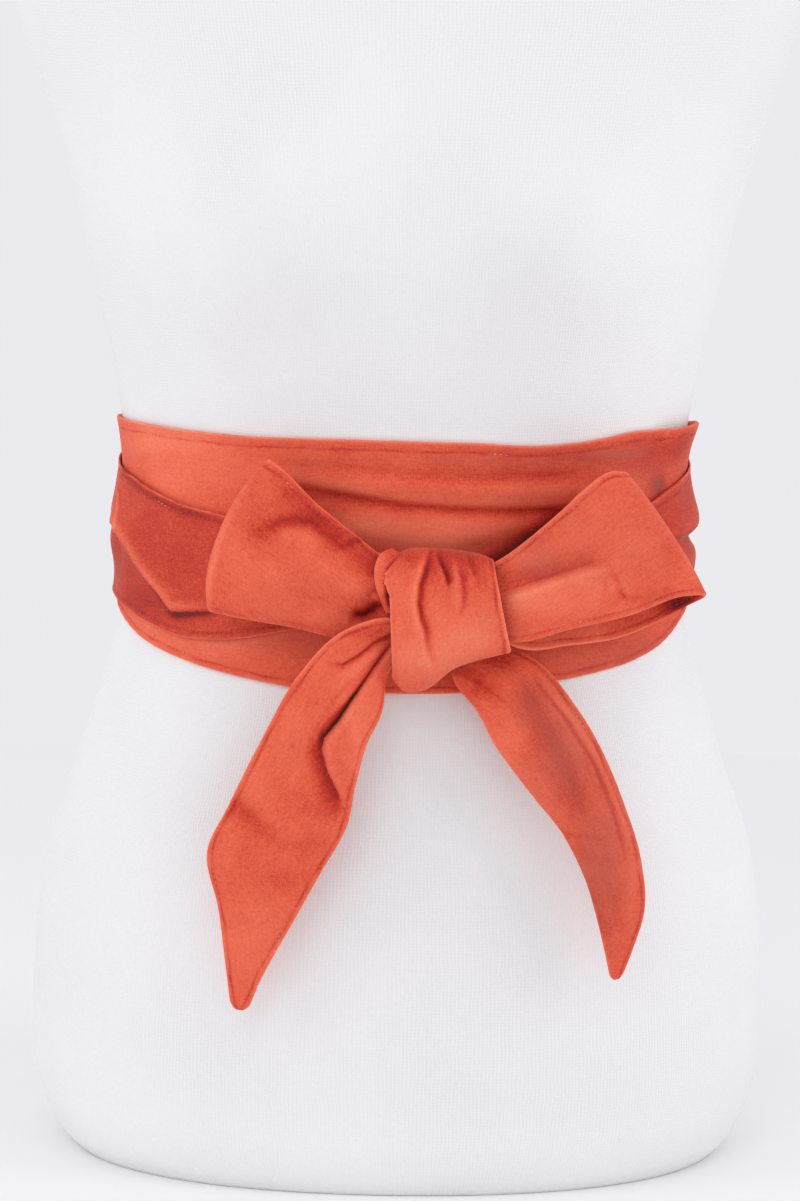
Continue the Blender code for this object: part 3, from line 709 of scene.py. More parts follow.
# these two paths serve for a crease and for its shade
panelFold = [
    (-60, 381), (-40, 378), (-22, 375), (0, 371.5), (22, 369.5), (47, 368), (78, 367.5), (108, 369)]
tieNotch = [(-202, 370), (-191, 361), (-183, 354), (-179, 347), (-177, 338)]
panel = {
    "edges": [  # angle, lower edge, upper edge
        (0, 272, 404.5), (15, 272.5, 404.5), (30, 276.5, 404), (45, 281.5, 404), (60, 288, 404),
        (75, 298, 403), (90, 304, 401.5), (103, 306, 398), (115, 306, 394),
    ],
    "topWave": [  # angle, how far the upper edge stands above the table
        (-115, 0), (-90, 0), (-55, 0.3), (-30, 0.6), (-12, 1.1), (0, 0.9), (13, 0), (26, -1.9), (35, -1.2),
        (42, 0.0), (50, 1.9), (60, 1.5), (75, 1.0), (90, 0.6), (115, 0),
    ],
    "lowWave": [
        (-115, 0), (-100, -0.8), (-86, -2.4), (-74, -2.6), (-61, -1.0), (-48, -0.6), (-36, -0.8), (0, 0),
        (34, 0), (45, -0.6), (60, -0.3), (75, 0), (115, 0),
    ],
    "ridges": [  # angle, height, to angle, to height, rise, width
        (66, 405, 96, 403, 3.0, 13), (-24, 395, 34, 392, 0.9, 6), (-30, 384, 36, 377, 2.4, 6.5),
        (-36, 362, 30, 357, 1.0, 10), (44, 380, 58, 372, 1.6, 8), (-62, 390, -30, 378, 1.0, 9),
    ],
    "creases": [  # path in arc length and height, rise, widths to the left and right of it
        (panelFold, -2.3, 1.4, 4.6),
        ([(-26, 389.5), (0, 388), (24, 386), (50, 385.5), (90, 385.5)], -0.9, 2.0, 3.6),
        ([(-46, 360), (-20, 355), (8, 352), (34, 352), (58, 356)], 1.7, 8, 9),
        ([(24, 346), (46, 350), (62, 356), (80, 364)], -1.4, 5, 6),
        ([(-94, 384), (-83, 381.5), (-75, 378)], -0.5, 2, 3),
        ([(118, 396), (140, 398), (160, 392)], -0.5, 3, 4),
        ([(60, 397), (84, 394), (104, 391)], -0.5, 2, 4),
        ([(130, 372), (140, 366), (150, 356)], -0.9, 3, 5),
        ([(-140, 388), (-100, 391), (-70, 392)], 0.35, 5, 6),
    ],
    "shades": [  # painted shade below 0 and painted highlight above 0, beside a line, widths as for a crease
        (panelFold, -0.17, 0.8, 4.2),
        ([(-62, 383), (-40, 381), (-20, 378), (2, 374.5), (26, 372.5), (60, 371.5), (92, 372)],
         0.16, 5, 1.6),
        ([(-10, 388.5), (24, 386), (50, 385.5), (90, 385.5)], -0.07, 1.6, 4),
        ([(36, 337.5), (48, 344), (60, 351.5), (71, 358.5), (82, 365.5)], -0.50, 5, 8),
        ([(-44, 350), (-36, 343), (-26, 340), (-10, 340)], -0.09, 3, 4),
        ([(-90, 400), (-130, 396), (-178, 390)], 0.12, 5, 12),
    ],
    "patches": [  # arc length, height, widths, lighter or darker
        (-130, 392, 60, 20, 0.13), (-70, 384, 40, 14, 0.08), (60, 394, 40, 8, -0.10),
        (70, 377, 34, 5, 0.10), (136, 392, 26, 9, -0.16), (148, 375, 9, 5, -0.42), (176, 393, 24, 12, -0.24),
        # in the next two rows, (-20, 359) and (18, 354) are painted highlight above the knot, and (-57, 292)
        # is painted shadow beside the left tail
        (-128, 374, 26, 11, 0.11), (20, 362, 44, 5, 0.08), (-20, 359, 18, 8, 0.20), (18, 354, 24, 9, 0.19),
        (-96, 296, 60, 14, 0.19), (-57, 292, 19, 9, -0.10), (130, 290, 40, 10, -0.04),
        (-150, 300, 40, 10, 0.12),
    ],
    "paintedSheenPatches": [  # the same, for the duller painted sheen
        (148, 375, 10, 6, 0.4), (126, 382, 34, 14, 0.3), (112, 395, 22, 4, 0.5), (125, 285, 60, 14, 0.35),
        (-90, 298, 60, 8, 0.25), (-10, 352, 60, 10, 0.3), (50, 395, 50, 5, 0.3),
    ],
    "tone": 0.0,
    "dust": 0.0,
    "hem": {"start": (3.6, 0.9), "stop": (5.3, 0.8)},  # both topstitches' distance from the edge, pull
    "seed": 11,
    "flat": {"flat": (0.132, 0.565), "area": 0.0625, "held": "stretched", "rests_on": ["dressFormJersey"]},
}
tieToRight = {
    "edges": [  # angle, lower edge, upper edge, layer
        (115, 306, 394, 0), (135, 309, 393, 0), (155, 327, 396, 0), (170, 346, 399, 0.2),
        (175, 350.5, 400, 0.5), (180, 351, 400, 1), (185, 350.5, 400, 1.45), (190, 348, 399, 1.6),
        (205, 327, 395, 1.4), (225, 310, 390, 1.15), (250, 305, 384.5, 1.1), (272, 304, 378.5, 1.1),
        (284, 305, 375.8, 1.1), (290, 306, 373.4, 1.1), (296, 307, 370.8, 1.1), (301, 308, 367.5, 1.1),
        (320, 311, 356, 1.1), (340, 314, 340, 1.1), (352, 315, 336, 1.1),
    ],
    "ridges": [(112, 362, 172, 382, 3.5, 8), (124, 336, 174, 362, 3.0, 7)],
    "creases": [
        ([(140, 344), (160, 346.5), (200, 348), (262, 349)], 6.2, 15, 4.6),
        ([(148, 333), (200, 331), (254, 330)], 4.2, 5.4, 13),
        ([(262, 372), (300, 380), (350, 388), (400, 392)], -1.0, 3, 4),
        ([(176, 366), (200, 375), (224, 380), (262, 385)], -1.4, 7, 8),
        ([(270, 346), (310, 352), (360, 366), (412, 378)], -1.2, 3, 5),
        ([(290, 324), (340, 334), (390, 346)], -0.9, 3, 4),
        ([(-290, 352), (-340, 366), (-380, 378)], -0.9, 3, 4),
    ],
    "shades": [
        ([(140, 344), (160, 345.5), (200, 347), (262, 348)], -0.15, 1.2, 3.5),
        ([(156, 372), (176, 384), (200, 388)], -0.05, 4, 3),
    ],
    "patches": [
        (190, 365, 30, 12, -0.04), (300, 350, 50, 20, 0.06), (-330, 350, 60, 20, 0.05),
        # (56, 342) is painted shadow in the pocket beside the knot and the right loop
        (205, 326, 30, 8, -0.08), (56, 342, 22, 9, -0.60),
    ],
    "paintedSheenPatches": [(130, 312, 40, 8, 0.2)],
    "tone": -0.16,
    "dust": 0.16,
    "hem": {"start": (4.4, 0.9), "stop": (4.4, 1.0)},
    "side": -1,
    "seed": 13,
    "flat": {"flat": (0.09, 0.575), "area": 0.0395, "held": "stretched",
             "rests_on": ["panelVelvet", "dressFormJersey"]},
}
tieToLeft = {
    "edges": [
        (115, 306, 394, 0), (135, 305, 391, 0), (155, 302, 373, 0), (170, 300, 354, 0.2),
        (175, 300, 349.5, 0.5), (180, 300, 350, 1), (185, 300, 349.5, 1.45), (190, 300, 353, 1.6),
        (205, 302, 372, 1.4), (225, 304, 383, 1.15), (250, 304, 381.5, 1.1), (270, 304, 378, 1.1),
        (280, 304, 376, 1.1), (290, 302, 373.4, 1.1), (303, 297, 367.5, 1.1), (312, 294, 363.6, 1.1),
        (322, 295, 361.5, 1.1), (346, 308, 350, 1.1), (358, 313, 346, 1.1), (366, 314, 345, 1.1),
    ],
    "ridges": [
        (-110, 356, -82, 355, 1.6, 15), (-110, 336, -84, 335, 4.4, 13), (-78, 346, -58, 330, 3.4, 12),
        (-118, 346, -172, 334, 3.5, 8), (-128, 318, -174, 314, 2.5, 7),
    ],
    "creases": [
        ([(-226, 350.5), (-206, 349), (-186, 345), (-174, 340.5), (-160, 334), (-143, 323.6), (-130, 314.6),
          (-121, 307.8), (-112, 308.4), (-100, 310.5)], 3.8, 10, 1.3),
        ([(-190, 336), (-170, 330), (-148, 316), (-136, 306)], -0.9, 3, 6),
        (tieNotch, 0.9, 1.2, 2.2),
        ([(-262, 366), (-300, 362), (-352, 356), (-402, 348)], -1.0, 3, 4),
        ([(-262, 384), (-224, 379), (-190, 373)], -1.7, 7, 9),
        ([(-270, 330), (-320, 332), (-372, 326), (-420, 322)], -1.2, 4, 3),
        ([(-250, 352), (-290, 348), (-330, 344)], 0.8, 4, 4),
        ([(286, 350), (330, 340), (380, 330)], -0.9, 3, 4),
        ([(-150, 352), (-130, 346), (-112, 338)], 0.4, 8, 8),
    ],
    "shades": [
        ([(-206, 347.5), (-186, 343.6), (-174, 339), (-160, 332.6), (-143, 322.2), (-130, 313.2),
          (-121, 306.4), (-112, 307), (-98, 309)], -0.16, 0.5, 5.0),
        ([(-210, 352.5), (-186, 348), (-174, 343.5), (-160, 337), (-143, 326.4), (-130, 317.2),
          (-121, 310.2), (-110, 310.8), (-98, 312.8)], 0.24, 2.8, 1.5),
        ([(-124, 305.4), (-117, 306), (-104, 308.2), (-92, 309.4)], -0.36, 0.9, 1.9),
        (tieNotch, 0.30, 0.9, 1.3),
        ([(-192, 375.3), (-168, 371.8), (-137, 364.8), (-115, 361), (-91, 358.8)], -0.20, 2.2, 2.4),
        ([(-180, 374), (-150, 364), (-118, 352)], -0.03, 4, 10),
    ],
    "patches": [
        (-170, 352, 30, 14, 0.03), (-198, 324, 30, 16, -0.15), (-128, 338, 24, 14, -0.05),
        (-150, 308, 24, 7, -0.12), (-330, 340, 50, 22, 0.05),
    ],
    "paintedSheenPatches": [(-200, 330, 30, 14, 0.2)],
    "tone": -0.13,
    "dust": 0.09,
    "hem": {"start": (4.0, 0.8), "stop": (4.4, 0.6)},
    "side": 1,
    "seed": 17,
    "flat": {"flat": (0.09, 0.61), "area": 0.0435, "held": "stretched",
             "rests_on": ["panelVelvet", "dressFormJersey"]},
}
wrapUneven = {"uneven": 0.28, "unevenLength": 34, "pucker": 0.16, "puckerLength": 9}


def ridgeRise(angle, height, ridges):
    # how far the highest ridge stands out
    rise = 0 * angle
    perDegree = belt["arcPerDegree"]
    for fromAngle, fromHeight, toAngle, toHeight, peak, width in ridges:
        alongX, alongZ = (toAngle - fromAngle) * perDegree, toHeight - fromHeight
        x, z = (angle - fromAngle) * perDegree, height - fromHeight
        t = np.clip((x * alongX + z * alongZ) / (alongX**2 + alongZ**2), 0, 1)
        near = np.hypot(x - t * alongX, z - t * alongZ)
        rise = np.maximum(rise, peak * np.exp(-((near / width) ** 2)))
    return rise


def halfTurn(angle):
    # the same angle between -180 and 180
    return (angle + 180) % 360 - 180


def panelRise(angle, height):
    around = halfTurn(angle)
    fine = creaseField(around * belt["arcPerDegree"], height, panel["creases"])
    return ridgeRise(around, height, panel["ridges"]) + np.maximum(fine, 0)


def wrapPiece(name, node, settings, turn, low, top, layer):
    # one wound stretch: turn holds each row's angle, low and top its edges
    perDegree, hem = belt["arcPerDegree"], settings["hem"]
    length = abs(turn - turn[0]) * perDegree
    places = placesAcross(top - low, belt["acrossStep"], hem, length)
    edge = np.minimum(places["fromStart"], places["fromStop"])
    height = low[:, None] + places["place"]
    angle = turn[:, None] + 0 * height
    around = halfTurn(angle)
    arc = around * perDegree
    end = np.minimum(length, length[-1] - length)[:, None] + 0 * height
    uneven = stitchUneven(length)
    half = clothHalf(places, end, hem, uneven)
    fine = creaseField(arc, height, settings["creases"])
    fine = fine + unevenness(arc, height, edge, settings["seed"], wrapUneven)
    out = belt["bodyGap"] + layer[:, None] * belt["layer"] + belt["thickness"] / 2
    if settings is not panel:
        out = out + panelRise(angle, height)  # the ties lie on the panel's ridges
    out = out + ridgeRise(around, height, settings["ridges"])
    front = onForm(angle, height, out + half + fine)
    back = onForm(angle, height, out - half + np.maximum(fine, 0) * belt["backFollows"])
    rim = half < belt["thinnest"]
    back[rim] = front[rim]
    # tone: lighter or darker patches, some of them painted shade and highlight, painted shade and highlight
    # beside creases, and the hem's painted highlight and shade
    tone = settings["tone"] + patchTone(arc, height, settings["patches"])
    tone = tone + creaseField(arc, height, settings["shades"]) + hemHighlightAndShade(places, hem, uneven)
    # painted sheen, duller where the pile lies away from the light
    dust = settings["dust"] + patchTone(arc, height, settings["paintedSheenPatches"])
    made = clothPiece(name, front, back, length[:, None] + 0 * height, height, tone, dust)
    for column in (grooveColumn, -1 - grooveColumn):
        stitchPaths.append(front[belt["unsewnRows"]:-belt["unsewnRows"], column])
    standFor(made, node)


def makePanel():
    edges = np.array(panel["edges"], float)
    end = belt["panelEnd"]
    turn = rowsAlong(2 * end * belt["arcPerDegree"], belt["rowStep"]) / belt["arcPerDegree"] - end
    low = smoothThrough(edges[:, 0], edges[:, 1], abs(turn)) + smoothThrough(*zip(*panel["lowWave"]), turn)
    top = smoothThrough(edges[:, 0], edges[:, 2], abs(turn)) + smoothThrough(*zip(*panel["topWave"]), turn)
    wrapPiece("panelVelvet", "centre_panel", panel, turn, low, top, 0 * turn)


def makeTie(name, node, settings):
    edges = np.array(settings["edges"], float)
    start = belt["panelEnd"] + belt["seamGap"] / belt["arcPerDegree"]
    length = (edges[-1, 0] - start) * belt["arcPerDegree"]
    turn = start + rowsAlong(length, belt["rowStep"]) / belt["arcPerDegree"]
    low, top, layer = (smoothThrough(edges[:, 0], edges[:, column], turn) for column in (1, 2, 3))
    wrapPiece(name, node, settings, settings["side"] * turn, low, top, layer)


# Bow: loops and tails, each a strip from a table of its two edges

loopLeft = {
    "strip": [  # upper edge x, ahead, z, lower edge x, ahead, z, belly, side
        (1.5, 144, 342, 1.5, 143, 307, 4, 0), (-9, 145, 347, -9, 144, 304, 4, 0),
        (-24, 145, 358.5, -30, 144, 304, 5, 0), (-46, 142, 375.5, -57, 140, 309, 8, -2),
        (-61, 135, 389.5, -86, 130, 312, 7, -7), (-70, 127, 395, -100.5, 120, 313.5, 0, -11),
        (-65, 120, 390.5, -86, 112, 312, -3, -8), (-47, 126, 373.2, -56, 125, 309, -2, -2),
        (-24, 132, 356, -30, 131, 304, -2, 0), (-9, 136, 343, -9, 135, 304, -3, 0),
        (1.5, 138, 341, 1.5, 137, 307, -4, 0),
    ],
    "frontRows": 5,         # rows of the strip that face the front
    "creases": [  # path in x and z, rise, widths to the left and right of it
        ([(-76, 356), (-69.7, 360.5), (-62.5, 364), (-55, 365.5), (-48, 364), (-42, 359), (-35, 353),
          (-29, 351)], -4.6, 5.5, 8),
        ([(-35, 354), (-30.6, 352), (-25, 356.5), (-20, 355)], -1.0, 2.4, 2.8),
        ([(-60, 352), (-45, 344.5), (-28, 334.5), (-17, 328)], 3.6, 9, 9),
        ([(-54, 334), (-50, 324.5), (-47.5, 315)], -1.1, 6, 5),
        ([(-12.5, 326), (-16, 320), (-21, 316), (-28, 318)], -5.0, 5, 4),
        ([(-8, 340), (-13, 332), (-19, 327)], -1.2, 2.5, 2.5),
        ([(-9, 352), (-14, 344), (-17, 336)], -0.9, 2.5, 4),
        ([(-80, 324), (-60, 318), (-40, 313)], 0.6, 6, 4),
        ([(-88, 372), (-92, 350), (-94, 330)], 0.5, 5, 5),
    ],
    "shades": [
        ([(-72, 359), (-64, 363.5), (-55, 365.5), (-48, 364), (-42, 359), (-35, 353), (-29, 351)],
         -0.08, 6, 2.2),
        ([(-66, 357.5), (-58, 359.5), (-50, 358), (-42, 352)], 0.12, 2.5, 6),
        ([(-35.5, 355), (-31, 352.5), (-25, 356.5), (-20, 355)], -0.03, 1.2, 2.2),
        ([(-66, 387), (-52, 375), (-38, 363), (-24, 352)], -0.07, 1.5, 6),
        ([(-9, 326), (-14, 321), (-20, 318), (-27, 319.5)], -0.28, 2.4, 3.4),
        ([(-5.5, 346), (-9.5, 337), (-10.5, 328), (-8, 320)], -0.17, 3, 2.4),
        ([(-73, 395), (-87, 375), (-95.5, 352), (-100.5, 330), (-101, 313)], 0.28, 1.7, 3),
        ([(-73, 396), (-88, 376), (-96.5, 353), (-101.5, 331), (-102, 313)], 0.20, 1.0, 1.0),
    ],
    "patches": [  # x, z, widths, lighter or darker: painted shade along the loop's upper right and by the knot, painted highlight in its middle and lower part
        (-54, 380, 11, 9, -0.08), (-40, 368, 12, 9, -0.13), (-26, 357, 10, 9, -0.14),
        (-58, 365, 13, 4, -0.08), (-18, 345, 8, 9, -0.12), (-18, 318, 9, 5, -0.22),
        (-52, 322, 10, 14, -0.04), (-75, 358, 9, 8, -0.14), (-70, 338, 22, 18, 0.09),
        (-40, 338, 16, 10, 0.09), (-86, 350, 10, 26, 0.07), (-72, 384, 8, 8, 0.06),
        (-24, 333, 8, 6, 0.10), (-40, 316, 26, 8, 0.10), (-66, 322, 20, 8, 0.05),
    ],
    "paintedSheenPatches": [(-50, 325, 20, 12, 0.05)],
    "tone": -0.03,
    "hem": {"start": (3.4, 0.6), "stop": (3.2, 0.3)},
    "seed": 21,
    "flat": {"flat": (0.082, 0.26), "area": 0.0151, "held": "folded", "rests_on": ["knotBandVelvet"]},
}
loopRight = {
    "strip": [
        (46.8, 146, 345, 46.8, 146, 304.5, 6, 0), (55, 147, 350.5, 59, 147, 304, 7, 0),
        (73, 144, 365, 88, 142, 310.5, 7, 0), (93, 136, 382, 119, 129, 316, 7, 0),
        (107.5, 125, 391.2, 147, 112, 323.5, 5, 1), (115, 117, 389.8, 160, 99, 321.5, 0, 3),
        (108, 110, 388.5, 150, 91, 314.5, -4, 1), (93, 116, 379, 122, 101, 301.5, -4, 0),
        (73, 128, 358, 88, 121, 298, -4, 0), (55, 138, 342, 60, 138, 299.5, -5, 0),
        (46.8, 141, 338, 46.8, 141, 306, -6, 0),
    ],
    "frontRows": 5,
    "creases": [
        ([(48, 330), (60, 334.5), (76, 339.5), (92, 344), (104, 348)], -2.6, 11, 3.0),
        ([(50, 326), (68.5, 332.2), (84, 337), (96, 340.2), (105, 342), (110, 340)], 2.6, 1.5, 9),
        ([(109.5, 341), (113, 331.5), (116.5, 323.5)], -1.2, 2, 3.4),
        ([(103, 345), (107, 338), (110, 330)], 1.2, 4, 3),
        ([(111.5, 330), (117, 326), (123, 324)], -0.6, 2, 2),
        ([(64, 350), (84, 360), (100, 372)], -1.2, 7, 7),
        ([(120, 356), (134, 348), (147, 338)], -0.6, 5, 6),
        ([(118, 384), (132, 366), (146, 348), (152, 336)], 0.5, 3, 3),
    ],
    "shades": [
        ([(48, 330), (60, 334.5), (76, 339.5), (92, 344), (104, 347)], -0.10, 6, 1.0),
        ([(50, 327), (68, 333), (84, 338), (97, 341.5), (106, 343)], 0.15, 1.6, 6),
        ([(106, 345), (109.5, 340), (113, 331.5), (117, 324)], -0.11, 1.2, 3.4),
        ([(54, 346), (74, 361), (94, 378), (104, 385)], -0.04, 1.6, 5),
        ([(50.5, 342), (53, 330), (52.5, 316), (51, 306)], -0.10, 3.5, 2.5),
    ],
    "patches": [
        (70, 341, 20, 5, -0.13), (92, 349, 14, 6, -0.07), (72, 325, 26, 7, 0.14), (100, 332, 12, 7, 0.10),
        (118, 350, 22, 18, 0.02), (110, 384, 12, 8, -0.03), (128, 364, 12, 12, -0.05),
        (60, 352, 8, 6, 0.04), (142, 352, 8, 18, -0.08), (128, 326, 20, 5, -0.10),
    ],
    "innerPatches": [(148, 316, 12, 10, -0.5), (124, 308, 14, 8, -0.12)],  # painted shade on the back layer, inside the loop
    "paintedSheenPatches": [
        (124, 352, 24, 24, 0.15), (78, 345, 26, 8, 0.3), (88, 364, 14, 12, 0.15), (70, 350, 8, 12, 0.15),
    ],
    "tone": 0.04,
    "hem": {"start": (3.3, 1.0), "stop": (3.6, 0.8)},
    "seed": 31,
    "flat": {"flat": (0.088, 0.28), "area": 0.0160, "held": "folded", "rests_on": ["knotBandVelvet"]},
}
tailLeft = {
    "strip": [
        (1.5, 154, 316, 0, 152, 297, 0.5, 0), (-9, 156, 317.5, -7.5, 151, 286, 0.5, 0),
        (-30, 159, 311, -9.8, 156, 269, 3, 0), (-53.5, 158, 287, -17.7, 157, 250, 5, 0),
        (-71.8, 156, 253.5, -23.3, 156, 228, 6, 0), (-89.6, 153, 216, -28, 155, 205, 6, 0),
        (-100.6, 150, 190, -42, 154, 179, 5, 0), (-94.5, 149, 161, -57, 153, 151, 4, 0),
        (-90.5, 148, 131, -71.5, 151, 123, 2, 0), (-87.5, 148, 106, -78.5, 149, 105, 0, 0),
    ],
    "frontRows": 10,
    "creases": [
        ([(0, 308), (-7, 300), (-14.4, 290.4), (-19.7, 282.3), (-24.9, 274.3), (-31.8, 263.2),
          (-36.2, 257.8), (-39.2, 254.2), (-40.2, 250)], -5.4, 1.2, 3.6),
        ([(-36.2, 257.8), (-39.2, 254.2), (-40.1, 251), (-39.6, 245.8), (-37.5, 236.8), (-34, 228.8),
          (-30.1, 219.9)], -3.2, 1.5, 8),
        ([(-2, 311), (-6.2, 308.7), (-15.3, 304.6), (-23, 298.4), (-30.7, 293.6), (-36, 294.5)],
         -3.0, 3.6, 1.4),
        ([(-14, 301), (-27, 289), (-39, 276), (-49, 258), (-51, 244)], 1.4, 3, 6),
        ([(-44, 300), (-56, 270), (-62, 245)], 2.0, 10, 10),
        ([(-91, 225), (-79, 214), (-67, 200), (-57, 194)], -1.6, 5, 6),
        ([(-72, 214), (-57, 206), (-47, 198)], 1.1, 4, 5),
        ([(-67, 183), (-61, 173), (-51, 167)], -1.1, 5, 5),
        ([(-83, 165), (-71, 154)], 0.8, 5, 5),
        ([(-70, 208), (-55, 150)], 1.6, 11, 11),
    ],
    "patches": [
        (-36, 216, 8, 7, -0.08), (-84, 214, 10, 6, -0.15), (-72, 206, 11, 7, -0.10),
        (-46, 199, 9, 7, -0.08), (-60, 178, 11, 8, -0.08), (-48, 222, 12, 10, -0.07),
        (-76, 150, 18, 22, 0.07), (-55, 250, 8, 26, 0.06), (-14, 309, 12, 4, -0.16),
        (-26, 299, 9, 6, -0.07), (-20, 262, 5, 16, 0.10), (-62, 203, 10, 8, 0.06),
        (-76, 232, 6, 20, 0.05), (-70, 192, 12, 8, -0.05),
    ],
    "shades": [
        ([(-3, 304.5), (-8, 299.5), (-15.2, 290.4), (-21, 281.8), (-26.8, 273.2), (-33.4, 263.8),
          (-38, 258.2), (-41, 254), (-41.6, 249)], -0.46, 0.9, 2.2),
        ([(-23.1, 280.6), (-29.2, 273.4), (-36.2, 266.3), (-40.5, 260.9), (-42.3, 256.5), (-43.4, 250)],
         -0.22, 2.4, 1.0),
        ([(-17, 286.2), (-24.9, 274.5), (-31.8, 264.4), (-39.4, 256)], -0.42, 0.6, 2.4),
        ([(-41, 256), (-41.6, 250), (-41, 245), (-38.8, 236), (-35.3, 228), (-31.8, 220.5), (-32.6, 214)],
         -0.34, 0.9, 6.5),
        ([(-14.4, 290.4), (-19.7, 282.3), (-24.9, 274.3), (-31.8, 263.2), (-36.2, 257.8), (-39.2, 254.2),
          (-40.1, 250.5), (-39.4, 244), (-37.2, 236.5), (-33.6, 228.5)], 0.20, 1.6, 0.4),
        ([(-2, 310), (-6.2, 307.4), (-15.3, 303.2), (-23, 297.2), (-30.7, 292.6), (-36, 293.5)],
         -0.21, 1.8, 0.8),
        ([(-10, 302), (-24, 291), (-37, 278)], 0.08, 1.5, 5),
        ([(-24, 283), (-30, 276), (-22, 252), (-24, 232)], 0.10, 3, 3),
    ],
    "paintedSheenPatches": [],
    "tone": 0.04,
    "hem": {"start": (3.0, 1.2), "stop": (3.2, 0.9)},
    "tip": 5.0,             # the end is turned in over this length
    "seed": 41,
    "flat": {"flat": (0.062, 0.235), "area": 0.0106, "held": "hung", "rests_on": ["knotBandVelvet"]},
}
tailRight = {
    "strip": [
        (46, 131, 304.6, 22, 132, 299, 0, 0), (59, 129.5, 298, 28, 139, 281, 1, 0),
        (74.5, 132.5, 288.5, 38.8, 146, 268, 4, 0), (93, 142, 267, 49.8, 150, 249, 6, 0),
        (108, 143, 241, 70.6, 151, 222, 7, 0), (119, 143, 214, 85, 151, 204, 7, 0),
        (126.8, 142, 189, 97.4, 150, 180, 6, 0), (129.6, 141, 162, 104, 148, 159, 4, 0),
        (123.8, 141, 140, 109.2, 146, 138, 2, 0), (118, 142, 124, 112.3, 144, 123, 0, 0),
    ],
    "frontRows": 10,
    "creases": [
        ([(16, 289), (28, 283.5), (40, 278.5), (50, 272.5), (56, 266)], 2.6, 1.5, 6),
        ([(24, 292), (40, 284), (54, 276)], -1.2, 4, 2),
        ([(58, 290), (68, 270), (80, 250), (90, 228), (93, 212)], -3.0, 9, 11),
        ([(70, 283), (88, 262), (103, 238), (114, 211), (121, 188)], -0.55, 0.8, 0.8),
        ([(82, 205), (98, 202), (110, 200)], -1.0, 2.5, 3),
        ([(104, 190), (112, 168), (115, 146)], -1.4, 5, 5),
        ([(52, 262), (66, 240), (80, 218)], 1.6, 6, 6),
    ],
    "shades": [
        ([(60, 284), (72, 266), (84, 246), (93, 226), (98, 208)], -0.20, 5, 10),
        ([(36, 281), (46, 276), (54, 270)], -0.20, 2.4, 3.5),
        ([(68, 284), (86, 263), (101, 239), (112, 212), (119, 188)], -0.22, 1.0, 0.8),
        ([(73, 284), (91, 262), (105, 240), (115.5, 214), (122.5, 190)], 0.16, 1.8, 1.6),
        ([(36, 266), (50, 248), (70, 224), (86, 208)], 0.15, 6, 1.5),
        ([(100, 178), (106, 160), (110, 144)], -0.10, 3, 2.5),
        ([(92, 198), (100, 190), (112, 188)], -0.05, 3, 2),
    ],
    "patches": [
        (50, 292, 12, 5, -0.16), (58, 256, 8, 12, 0.10), (48, 272, 8, 8, 0.08), (122, 176, 4, 20, 0.08),
        (104, 196, 10, 10, -0.05), (112, 165, 8, 16, -0.06),
    ],
    "paintedSheenPatches": [(84, 246, 16, 26, 0.55), (106, 188, 18, 44, 0.5), (66, 270, 14, 12, 0.35)],
    "tone": -0.02,
    "hem": {"start": (2.8, 1.2), "stop": (3.4, 0.0)},
    "tip": 4.5,
    "seed": 51,
    "flat": {"flat": (0.052, 0.20), "area": 0.0080, "held": "hung", "rests_on": ["knotBandVelvet"]},
}
knotTurn = {
    "strip": [
        (-5.5, 149, 352.6, -2, 149, 350.5, 0.5, 0), (-11.5, 150, 350, -3.5, 151, 345.5, 1.6, 0),
        (-14.4, 150.5, 343.5, -3.5, 152, 340.5, 2.6, 0), (-14.2, 150.5, 335, -3, 152.2, 335, 2.6, 0),
        (-11.5, 150.4, 327, -3, 152.2, 328, 1.8, 0), (-8, 150.2, 318.5, -2.5, 152, 320.5, 0.5, 0),
    ],
    "frontRows": 6,
    "creases": [],
    "patches": [(-6, 350, 6, 3.5, -0.14)],
    "shades": [
        ([(-5, 347), (-7, 342), (-7.7, 336), (-7.4, 329), (-5.5, 321)], -0.60, 4, 1.5),
        ([(-9.5, 350), (-12.6, 344), (-12.8, 336), (-10.4, 328)], 0.15, 1.2, 2),
    ],
    "paintedSheenPatches": [],
    "tone": 0.0,
    "hem": {"start": (3.2, 0.0), "stop": (3.2, 0.0)},
    "seed": 61,
    "flat": {"flat": (0.012, 0.036), "area": 0.00038, "held": "folded", "rests_on": ["knotCoreVelvet"]},
}
bow = {
    "rowStep": 0.9,
    "acrossStep": 0.9,
    "leastStep": 1,         # between two rows of a strip's table
    "archPower": 2.4,       # how flat a strip's belly is
    "turnsBack": (-0.6, 0.1),  # rows about frontRows over which the front's folds fade
    "tipClose": 0.95,       # 1 would close a tail's end to a point
    "tipSewn": 1.2,         # the topstitch turns this many tips before the end
    "uneven": 0.3,
    "unevenLength": 26,
    "pucker": 0.2,
    "puckerLength": 8,
}


